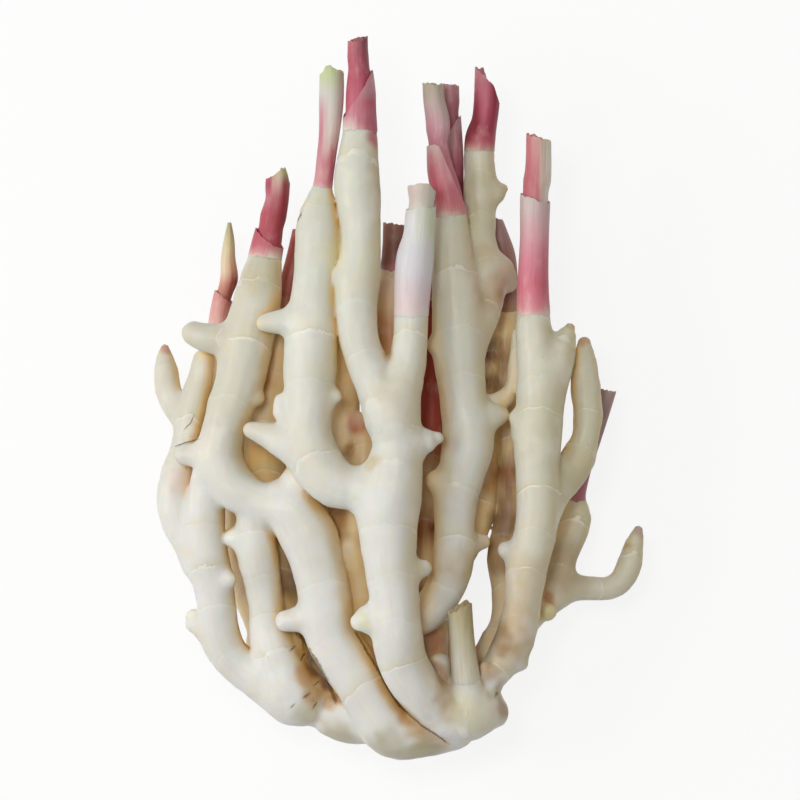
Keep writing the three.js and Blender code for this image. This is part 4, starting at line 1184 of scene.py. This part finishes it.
def settle_on_fingers(fingers, points):
    """For each point of the skin: the finger it is on, how much nearer that one is than the next,
    how far along it is, how much it faces the front, and its place for patterns that run along."""
    count = len(points)
    best = np.full(count, FAR)
    second = np.full(count, FAR)
    owner = np.zeros(count, int)
    along = np.zeros(count)
    front = np.zeros(count)
    grain = np.zeros((count, 3))
    for number, finger in enumerate(fingers):
        room = finger.line[:, 3].max() + SKIN_ROOM
        low = finger.line[:, :3].min(0) - room
        high = finger.line[:, :3].max(0) + room
        inside = np.nonzero(((points > low) & (points < high)).all(1))[0]
        out, place, piece, part = finger.near(points[inside])
        better = out < best[inside]
        second[inside] = np.where(better, best[inside], np.minimum(second[inside], out))
        mine = inside[better]
        best[mine] = out[better]
        owner[mine] = number
        along[mine] = place[better]
        start = finger.line[piece[better], :3]
        way = finger.line[piece[better] + 1, :3] - start
        off = unit(points[mine] - start - part[better][:, None] * way)
        way = unit(way)
        ahead = unit(UP - way * way[:, 2:])
        front[mine] = np.einsum("ij,ij->i", off, ahead)
        across = np.einsum("ij,ij->i", off, np.cross(way, ahead))
        round_it = GRAIN_RADIUS * np.c_[across, front[mine]] + [0, GRAIN_APART * number]
        grain[mine] = np.c_[round_it, place[better]]
    return owner, second - best, along, front, grain


def find_cracks(points):
    """Each point's place across the nearest crack, in its half widths, and how near it is to it."""
    across = np.zeros(len(points))
    near = np.zeros(len(points))
    best = np.full(len(points), FAR)
    for width, *corners in CRACKS:
        for start, stop in zip(np.array(corners[:-1], float), np.array(corners[1:], float)):
            length = np.linalg.norm(stop - start)
            run = (stop - start) / length
            off = points[:, :2] - start
            aside = off @ [-run[1], run[0]]
            past = np.maximum(np.maximum(-(off @ run), off @ run - length), 0)
            far = np.hypot(aside, past)
            closer = far < best
            best[closer] = far[closer]
            across[closer] = aside[closer] / width
            beside = ease(*CRACK_SIDES, np.abs(aside[closer]))
            near[closer] = ease(CRACK_END, 0, past[closer]) * beside
    return across, near


def make_rhizome():
    fingers, field = grow_flesh()
    points, quads = field.skin()
    mesh = bpy.data.meshes.new("rhizome_skin")
    mesh.from_pydata((points * MM).tolist(), [], quads.tolist())
    piece = bpy.data.objects.new("rhizome_skin", mesh)
    bpy.context.collection.objects.link(piece)
    deselect()
    bpy.context.view_layer.objects.active = piece
    piece.select_set(True)
    thin = piece.modifiers.new("thin", "DECIMATE")
    thin.ratio = MOST_TRIANGLES / (2 * len(quads))
    bpy.ops.object.modifier_apply(modifier=thin.name)

    points = corners_of(piece) / MM
    normals = corners_of(piece, "normal")
    owner, margin, along, front, grain = settle_on_fingers(fingers, points)
    clear = ease(*CLEAR, margin)
    arch = RING_TILT * front + RING_ARCH * (2 * front**2 - 1)
    phase = np.zeros(len(points))
    swell = np.zeros(len(points))
    waver, length, seed = RING_WOBBLE
    before, beyond = RING_SWELL
    for number, finger in enumerate(fingers):
        mine = owner == number
        places = np.array(ring_places(finger))
        here = along[mine] - arch[mine] * np.minimum(1, finger.line[:, 3].mean() / FULL_ARCH)
        here += waver * ripple(points[mine], length, seed)
        phase[mine] = np.interp(here, places, np.arange(len(places)))
        if not finger.name.startswith("knob"):
            past = here - places[np.round(phase[mine]).astype(int)]
            sunk = np.where(past < 0, np.exp(past / before), np.exp(-past / beyond))
            swell[mine] = RING_STEP * sunk
    uneven = sum(height * ripple(points, size, seed) for height, size, seed in SWELLS)
    lifted = ease(*CLEAR, points[:, 2])
    moved = points + normals * ((swell * clear + uneven) * lifted)[:, None]
    moved[:, 2] = np.maximum(moved[:, 2], 0)
    move_corners(piece, moved)

    # how crowded and how open to the sky the skin is, which sets its painted shade
    crowd = smooth_over(piece, field.crowding(points + CROWD_START * normals))
    sky = smooth_over(piece, field.openness(points, normals))
    draw = np.random.default_rng(RING_SEED)
    strength = draw.uniform(FAINTEST_RING, 1, (len(fingers), MOST_RINGS)) ** RING_FADING
    faint = smooth_over(piece, strength[owner, np.rint(phase).astype(int)])
    across, near = find_cracks(points)
    on_top = ease(*CRACK_FACING, normals[:, 2]) * ease(*CRACK_HEIGHT, points[:, 2])
    keep(piece, "grain", grain)
    keep(piece, "tint", skin_tint(points, normals, crowd, sky))
    keep(piece, "ring_phase", phase)
    keep(piece, "ring_keep", clear * faint)
    keep(piece, "crack", across)
    keep(piece, "crack_keep", near * on_top)
    bpy.ops.object.shade_smooth()
    return piece


def skin_tint(points, normals, crowd, sky):
    """Paints light and shade into the skin's colour: whiter towards the base, partly as painted
    light, and warm ochre painted shade on sides that face right, away from the light, where the
    skin sees little sky and where the flesh crowds round it; then lays on the patches.
    """
    flesh = {place: linear(colour) for place, colour in FLESH.items()}
    x, y, _ = points.T
    to_right = normals[:, 0]
    # painted shade in the gaps, more ochre on sides that face right
    gap = mix(flesh["gap_painted_shade_left"], flesh["gap_painted_shade_right"], ease(0.5, -0.5, to_right))
    tint = mix(flesh["low"], flesh["high"], ease(-120, 110, y + 0.25 * x))
    for over, share in (
        # a darker tone on the far left and a tan on the far right, partly painted shade; then
        # painted shade on sides that face right, in gaps that see little sky and in crowded creases
        (flesh["left"], 0.8 * ease(-60, -80, x) * ease(-60, 0, y)),
        (flesh["right"], 0.8 * ease(52, 80, x)),
        (flesh["flank_painted_shade"], 0.6 * ease(0.3, 0.95, to_right)),
        (gap, 0.8 * ease(0.85, 0.3, sky)),
        (flesh["crease_painted_shade"], 0.6 * ease(0.32, 0.56, crowd)),
        (flesh["deep"], 0.7 * ease(0.56, 0.76, crowd)),
    ):
        tint = mix(tint, over, share)
    # the patches: painted shade in most places, the skin's own marks in others
    uneven, size, seed = PATCH_EDGE
    edge = uneven * ripple(points, size, seed)
    for *place, reach, colour, share in SHADE_AND_STAIN_PATCHES:
        far = np.linalg.norm((points - place) * [1, 1, PATCH_DEPTH], axis=1) + edge
        tint = mix(tint, linear(colour), share * ease(reach, PATCH_CORE * reach, far))
    return tint


# ---- leaf sheaths and shoots ----


def grid_piece(name, rings):
    """A grid of squares rolled into the shape of the rings, which are arrays of points in mm."""
    rows, columns = rings.shape[:2]
    deselect()
    bpy.ops.mesh.primitive_grid_add(x_subdivisions=columns - 1, y_subdivisions=rows - 1, size=2)
    piece = bpy.context.object
    piece.name = name
    flat = corners_of(piece)
    column = np.rint((flat[:, 0] + 1) / 2 * (columns - 1)).astype(int)
    row = np.rint((flat[:, 1] + 1) / 2 * (rows - 1)).astype(int)
    move_corners(piece, rings[row, column])
    bpy.ops.object.mode_set(mode="EDIT")
    bpy.ops.mesh.select_all(action="SELECT")
    bpy.ops.mesh.remove_doubles(threshold=DOUBLES)
    bpy.ops.mesh.normals_make_consistent(inside=False)
    bpy.ops.object.mode_set(mode="OBJECT")
    bpy.ops.object.shade_smooth_by_angle(angle=SHARP)
    return piece


class Shoot:
    """The line of a shoot, from a little below the end of its finger."""

    def __init__(self, flesh, stations):
        whole, starts = smooth_line(list(flesh) + list(stations), SHOOT_ROW)
        base = starts[len(flesh) - 1]
        below = round(SHOOT_ROOT / SHOOT_ROW)
        self.line = whole[base - below :]
        self.starts = [start - base + below for start in starts[len(flesh) :]]
        self.along = lengths_along(self.line)
        way = unit(np.gradient(self.line[:, :3], axis=0))
        self.side = unit(np.cross(way, UP))
        self.up = np.cross(self.side, way)

    def at(self, along, angle, inset):
        """Points at distances along the shoot and angles round it, inset mm under its outside."""
        row = np.interp(along, self.along, np.arange(len(self.along)))
        low = np.clip(row.astype(int), 0, len(self.along) - 2)
        part = (row - low)[..., None]

        def between(values):
            return values[low] * (1 - part) + values[low + 1] * part

        radius = between(self.line[:, 3:])[..., 0] - inset
        aside = between(self.side) * (radius * np.cos(angle))[..., None]
        above = between(self.up) * (radius * np.sin(angle))[..., None]
        return between(self.line[:, :3]) + aside + above

    def reach(self, planes, longest, ragged, seed):
        """How far each side goes before the first plane that cuts it, with a ragged edge."""
        reach = np.full(len(ROUND), longest)
        steps = np.arange(0, longest, CUT_STEP)
        spread = self.at(*np.meshgrid(steps, ROUND, indexing="ij"), 0)
        for point, out in planes:
            beyond = (spread - point) @ unit(np.array(out, float)) > 0
            first = np.where(beyond.any(0), steps[beyond.argmax(0)], longest)
            reach = np.minimum(reach, first)
        draw = np.random.default_rng(seed)
        notch = sum(draw.uniform(0.3, 1) * wave(draw, n * ROUND) for n in NOTCHES)
        reach = np.clip(reach + ragged * notch, LEAST_REACH, self.along[-1])
        reach[-1] = reach[0]
        return reach


def wave(draw, angles):
    return np.sin(angles + draw.uniform(0, ONCE_ROUND))


def root_inset(along, angles, seed):
    """A shoot comes out of its finger at an uneven edge, and stands a little proud of it there."""
    draw = np.random.default_rng(seed)
    edge = sum(ROOT_RAGGED * wave(draw, n * angles) for n in ROOT_WAVES)
    return ROOT_UNDER - ROOT_STEP * ease(0.3 * SHOOT_ROOT, SHOOT_ROOT, along + edge)


def stretch(reach, length):
    """Distances along for each row of each side: even near the root, and all ending at the cut."""
    longest = reach.max()
    share = np.linspace(0, 1, max(LEAST_ROWS, round(length / SHOOT_ROW)))[:, None]
    calm = EVEN_SHARE * reach.min()
    even = share * longest
    last = calm + (even - calm) * (reach[None, :] - calm) / (longest - calm)
    return np.where(even < calm, even, last)


def relief(along, angles, seed, depth):
    """Veins and slack of a leaf sheath, in mm outwards."""
    draw = np.random.default_rng(seed)
    veins = sum(wave(draw, n * angles + along * VEIN_TURN) for n in VEINS) / len(VEINS)
    slack = wave(draw, 2 * angles) + 0.6 * wave(draw, along / SLACK_LENGTH + angles)
    return depth * (veins + SLACK * slack)


def make_stem(name, shoot, planes, wrapped, ragged, seed):
    """wrapped: how far along a leaf sheath covers it, or 0."""
    reach = shoot.reach(planes, shoot.along[-1], ragged, seed)
    along = stretch(reach, shoot.along[-1])
    angles = np.broadcast_to(ROUND, along.shape)
    if wrapped:
        inset = UNDER_SHEATH * ease(wrapped + SWELL_LENGTH, wrapped, along)
    else:
        inset = root_inset(along, angles, seed)
    outside = shoot.at(along, angles, inset - relief(along, angles, seed, STEM_RELIEF))
    depth = shoot.line[-1, 3]
    folds = [shoot.at(along[-1:] - low, angles[-1:], depth * part) for part, low in CUT_FOLDS]
    folds[-1][:] = folds[-1].mean(axis=1, keepdims=True)
    root = np.broadcast_to(outside[:1].mean(axis=1, keepdims=True), outside[:1].shape)
    return grid_piece(name, np.concatenate([root, outside, *folds]))


def make_sheath(name, shoot, stations, lip, seed):
    """The sheath, and how far along it covers the shoot."""
    longest = shoot.along[shoot.starts[stations - 1]]
    reach = shoot.reach([lip], longest, RAGGED, seed)
    along = stretch(reach, longest)
    angles = np.broadcast_to(ROUND, along.shape)
    skin = root_inset(along, angles, seed) - relief(along, angles, seed, SHEATH_RELIEF)
    thin = SHEATH_WALL * ease(0, SHEATH_THINNING, reach[None, :] - along) + SHEATH_LIP
    outside = shoot.at(along, angles, skin)
    inside = shoot.at(along, angles, skin + thin)[::-1]
    return grid_piece(name, np.concatenate([outside, inside, outside[:1]])), reach.max()


def paint(piece, bands, shoot_line, seed):
    """Colours a shoot from its bands, and keeps its place for the veins."""
    points = corners_of(piece) / MM
    heights = [band[0] for band in bands]
    columns = []
    for _, left, *middle, right in bands:
        left, right = linear(left), linear(right)
        columns.append([left, linear(middle[0]) if middle else (left + right) / 2, right])
    columns = np.array(columns)
    nearest = np.argmin(np.abs(points[:, 1:2] - shoot_line[None, :, 1]), axis=1)
    core = shoot_line[nearest]
    y = points[:, 1] + BAND_UNEVEN * ripple(points * [1, 0.3, 1], 6, seed)
    left, middle, right = (
        np.stack([np.interp(y, heights, columns[:, side, k]) for k in range(3)], axis=1)
        for side in range(3)
    )
    across = (points[:, 0] - core[:, 0]) / core[:, 3]
    across += SIDE_UNEVEN * ripple(points * [1, 0.05, 1], 3, seed + 1)
    tint = mix(left, middle, ease(-FULL_SIDE, 0, across))
    tint = mix(tint, right, ease(0, FULL_SIDE, across))
    keep(piece, "tint", tint)
    keep(piece, "grain", np.c_[points[:, 0] - core[:, 0], points[:, 2] - core[:, 2], points[:, 1]])


# ---- materials ----


def add(tree, kind, settings=None, inputs=None):
    """Adds a node with its settings. An input gets a value, a hex colour, a node or its output."""
    node = tree.nodes.new(kind)
    for name, value in (settings or {}).items():
        setattr(node, name, value)
    for name, value in (inputs or {}).items():
        socket = node.inputs[name]
        if isinstance(value, bpy.types.Node):
            value = next(output for output in value.outputs if output.enabled)
        if isinstance(value, bpy.types.NodeSocket):
            tree.links.new(value, socket)
        elif isinstance(value, str):
            socket.default_value = (*linear(value), 1)
        else:
            socket.default_value = value
    return node


def new_material(name):
    material = bpy.data.materials.new(name)
    material.use_nodes = True
    material.node_tree.nodes.clear()
    return material, material.node_tree


# What a row of a table of nodes may ask for: the kind of node, its settings, and the inputs that
# the row gives in order. Any other word is an operation of a Math node.
STEPS = {
    "STRETCH": ("ShaderNodeMapping", {}, ("Vector", "Scale")),
    "NOISE": ("ShaderNodeTexNoise", {}, ("Vector", "Scale", "Detail", "Roughness")),
    "RAMP": ("ShaderNodeMapRange", {"interpolation_type": "SMOOTHSTEP"}, range(5)),
    "LAY": ("ShaderNodeMix", {"data_type": "RGBA"}, (6, 7, 0)),
}


def moist_surface(name, stored, rows, colours, relief, bump, flesh):
    """A material of living plant flesh, which reads the values stored on the mesh.

    rows: the nodes that work out its parts: the name of a part, its step, and what goes into it
    colours: laid on the stored tint in turn, each where and as far as a part says
    relief: parts that raise the surface, in mm
    """
    material, tree = new_material(name)
    metres = add(tree, "ShaderNodeTexCoord").outputs["Object"]
    place = add(tree, "ShaderNodeVectorMath", {"operation": "SCALE"}, {0: metres, "Scale": 1 / MM})
    parts = {"place": place, "height": 0.0}
    for value, output in stored.items():
        parts[value] = add(tree, "ShaderNodeAttribute", {"attribute_name": value}).outputs[output]
    rows = list(rows)
    for part, colour, share in colours:
        rows += [("share", "MULTIPLY", part, share), ("tint", "LAY", "tint", colour, "share")]
    for part, height in relief:
        rows.append(("height", "MULTIPLY_ADD", part, height, "height"))
    for part, step, *values in rows:
        kind, settings, order = STEPS.get(step, ("ShaderNodeMath", {"operation": step}, range(3)))
        inputs = {socket: parts.get(value, value) for socket, value in zip(order, values)}
        parts[part] = add(tree, kind, settings, inputs)
    raised = {"Strength": bump, "Distance": MM, "Height": parts["height"]}
    inputs = {
        "IOR": WET_SKIN,
        "Base Color": parts["tint"],
        "Roughness": parts["roughness"],
        "Normal": add(tree, "ShaderNodeBump", inputs=raised),
        **flesh,
    }
    shader = add(tree, "ShaderNodeBsdfPrincipled", inputs=inputs)
    add(tree, "ShaderNodeOutputMaterial", inputs={"Surface": shader})
    return material


def young_ginger_skin():
    """Young ginger skin is a thin, moist, almost clear film over pale flesh, so light sinks in a
    few millimetres and shines back warm. It is satin, not glossy. Each ring is the torn edge of a
    scale leaf, paler than the skin."""
    stored = {"grain": "Vector", "tint": "Color"}
    stored.update((value, "Fac") for value in ("ring_phase", "ring_keep", "crack", "crack_keep"))
    rows = []
    for name, per_mm, detail in SKIN_PATTERNS:
        rows.append((name, "NOISE", "place", per_mm, detail, FINENESS))
    rows += [
        ("fibres", "STRETCH", "grain", (0.55, 0.55, 0.033)),
        ("fibres", "NOISE", "fibres", 1, 3, FINENESS),
        # how many mm past the nearest ring
        ("wander", "SUBTRACT", "wander", 0.5),
        ("turn", "MULTIPLY_ADD", "wander", 0.07, "ring_phase"),
        ("turn", "ADD", "turn", 0.5),
        ("turn", "FRACT", "turn"),
        ("turn", "SUBTRACT", "turn", 0.5),
        ("past", "MULTIPLY", "turn", RING_SPACING),
        # how much is left of the scale leaf
        ("torn", "RAMP", "tears", 0.38, 0.6, 0.25, 1),
        ("edge", "MULTIPLY", "ring_keep", "torn"),
    ]
    for name, kept, start, full, still, gone in RING_STRIPS:
        rows += [
            (name, "RAMP", "past", start, full, 0, 1),
            ("stop", "RAMP", "past", still, gone, 1, 0),
            (name, "MULTIPLY", name, "stop"),
            (name, "MULTIPLY", name, kept),
        ]
    rows += [
        ("pale", "RAMP", "patches", 0.5, 0.75, 0, 1),
        ("yellow", "RAMP", "patches", 0.5, 0.28, 0, 1),
        ("lines", "RAMP", "fibres", 0.5, 0.75, 0, 1),
        ("dots", "RAMP", "dots", 0.76, 0.82, 0, 1),
        ("dotted", "RAMP", "dotted", 0.5, 0.62, 0, 1),
        ("dots", "MULTIPLY", "dots", "dotted"),
        ("uneven", "SUBTRACT", "uneven", 0.5),
        ("across", "MULTIPLY_ADD", "uneven", 2.5, "crack"),
        ("across", "ABSOLUTE", "across"),
        ("crack", "RAMP", "across", 0.5, 1.5, 1, 0),
        ("crack", "MULTIPLY", "crack", "crack_keep"),
        ("roughness", "RAMP", "dampness", 0.3, 0.7, 0.36, 0.52),
    ]
    flesh = {
        "Subsurface Weight": 0.5,
        "Subsurface Scale": 2 * MM,
        "Subsurface Radius": (2.6, 1.5, 0.8),
        "Subsurface Anisotropy": 0.6,
    }
    return moist_surface(
        "young_ginger_skin", stored, rows, SKIN_COLOURS, SKIN_RELIEF, SKIN_BUMP, flesh
    )


def leaf_sheath(name, vein, share):
    """Leaf sheaths of the shoots: layers of thin wet leaf base with fine straight veins, satin
    along them."""
    rows = [
        ("veins", "STRETCH", "grain", (1.1, 1.1, 0.022)),
        ("veins", "NOISE", "veins", 1, 2, FINENESS),
        ("patches", "STRETCH", "grain", (0.14, 0.14, 0.07)),
        ("patches", "NOISE", "patches", 1, 3, FINENESS),
        ("lines", "RAMP", "veins", 0.48, 0.7, 0, 1),
        ("pale", "RAMP", "patches", 0.52, 0.8, 0, 1),
        ("roughness", "RAMP", "patches", 0.3, 0.7, 0.38, 0.55),
    ]
    colours = [("lines", vein, share), ("pale", "#efe2dc", 0.22)]
    relief = [("veins", 0.5), ("patches", 0.5)]
    leaf = {
        "Subsurface Weight": 0.3,
        "Subsurface Scale": 1.5 * MM,
        "Subsurface Radius": (1.6, 0.7, 0.5),
    }
    stored = {"grain": "Vector", "tint": "Color"}
    return moist_surface(name, stored, rows, colours, relief, LEAF_BUMP, leaf)


def white_table():
    """A plain white surface that keeps the soft shadow and looks white to the camera."""
    material, tree = new_material("white_table")
    rays = add(tree, "ShaderNodeLightPath").outputs
    seen = {0: rays["Is Camera Ray"], 1: rays["Is Glossy Ray"]}
    seen = add(tree, "ShaderNodeMath", {"operation": "MAXIMUM"}, seen)
    share = add(tree, "ShaderNodeMath", {"operation": "MULTIPLY"}, {0: seen, 1: TABLE_WHITE})
    plain = add(tree, "ShaderNodeBsdfDiffuse", inputs={"Color": "#f4f4f2"})
    white = add(tree, "ShaderNodeEmission", inputs={"Strength": 1.0})
    blend = add(tree, "ShaderNodeMixShader", inputs={0: share, 1: plain, 2: white})
    add(tree, "ShaderNodeOutputMaterial", inputs={"Surface": blend})
    return material


# ---- the whole hand ----


def dress(piece, node, material):
    piece.data.materials.clear()
    piece.data.materials.append(material)
    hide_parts(node)
    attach(piece, "root")


dress(make_rhizome(), "rhizome", young_ginger_skin())

sheaths = {slot: leaf_sheath(*finish) for slot, finish in SHEATHS.items()}
for number, (name, shoot) in enumerate(SHOOTS.items()):
    line = Shoot(FINGERS[shoot["on"]], shoot["stations"])
    pieces = {}
    wrapped = 0
    stem = name
    if "lip" in shoot:
        node = f"{name}_sheath"
        stem = f"{name}_stem"
        made = make_sheath(f"{node}_leaf", line, shoot["sheath_to"], shoot["lip"], number)
        pieces[node], wrapped = made
    planes = shoot.get("top", [])
    pieces[stem] = make_stem(f"{stem}_leaf", line, planes, wrapped, RAGGED, STEM_SEED + number)
    for node, piece in pieces.items():
        paint(piece, PAINT[node], line.line, PAINT_SEED + number)
        slot = next((slot for slot, nodes in SLOTS.items() if node in nodes), "pink_sheath")
        dress(piece, node, sheaths[slot])

line = Shoot(FINGERS[STUB["on"]], STUB["stations"])
piece = make_stem("old_stem_stub_fibres", line, STUB["top"], 0, STUB_RAGGED, STUB_SEED)
paint(piece, PAINT["old_stem_stub"], line.line, STUB_SEED + 1)
dress(piece, "old_stem_stub", sheaths["old_stem"])

# ---- table, light and camera ----

deselect()
bpy.ops.mesh.primitive_plane_add(size=TABLE_SIZE, location=(0, 0, -TABLE_GAP))
table = bpy.context.object
table.name = "table"
table.data.materials.append(white_table())

for name, place, size, watts, colour in LAMPS:
    deselect()
    bpy.ops.object.light_add(type="AREA", location=place)
    lamp = bpy.context.object
    lamp.name = name
    lamp.data.shape = "DISK"
    lamp.data.size = size
    lamp.data.energy = watts
    lamp.data.color = linear(colour)
    lamp.rotation_euler = (AIM - Vector(place)).to_track_quat("-Z", "Y").to_euler()

world = bpy.data.worlds.new("white_room")
bpy.context.scene.world = world
world.use_nodes = True
room = world.node_tree.nodes["Background"].inputs
room["Color"].default_value = (1, 1, 1, 1)
room["Strength"].default_value = ROOM_LIGHT

bpy.ops.object.camera_add(location=(0, 0, CAMERA_HEIGHT), rotation=(0, 0, 0))
camera = bpy.context.object
camera.data.lens = LENS
camera.data.sensor_width = 36
camera.data.clip_end = 20
bpy.context.scene.camera = camera
bpy.context.scene.view_settings.view_transform = "Standard"
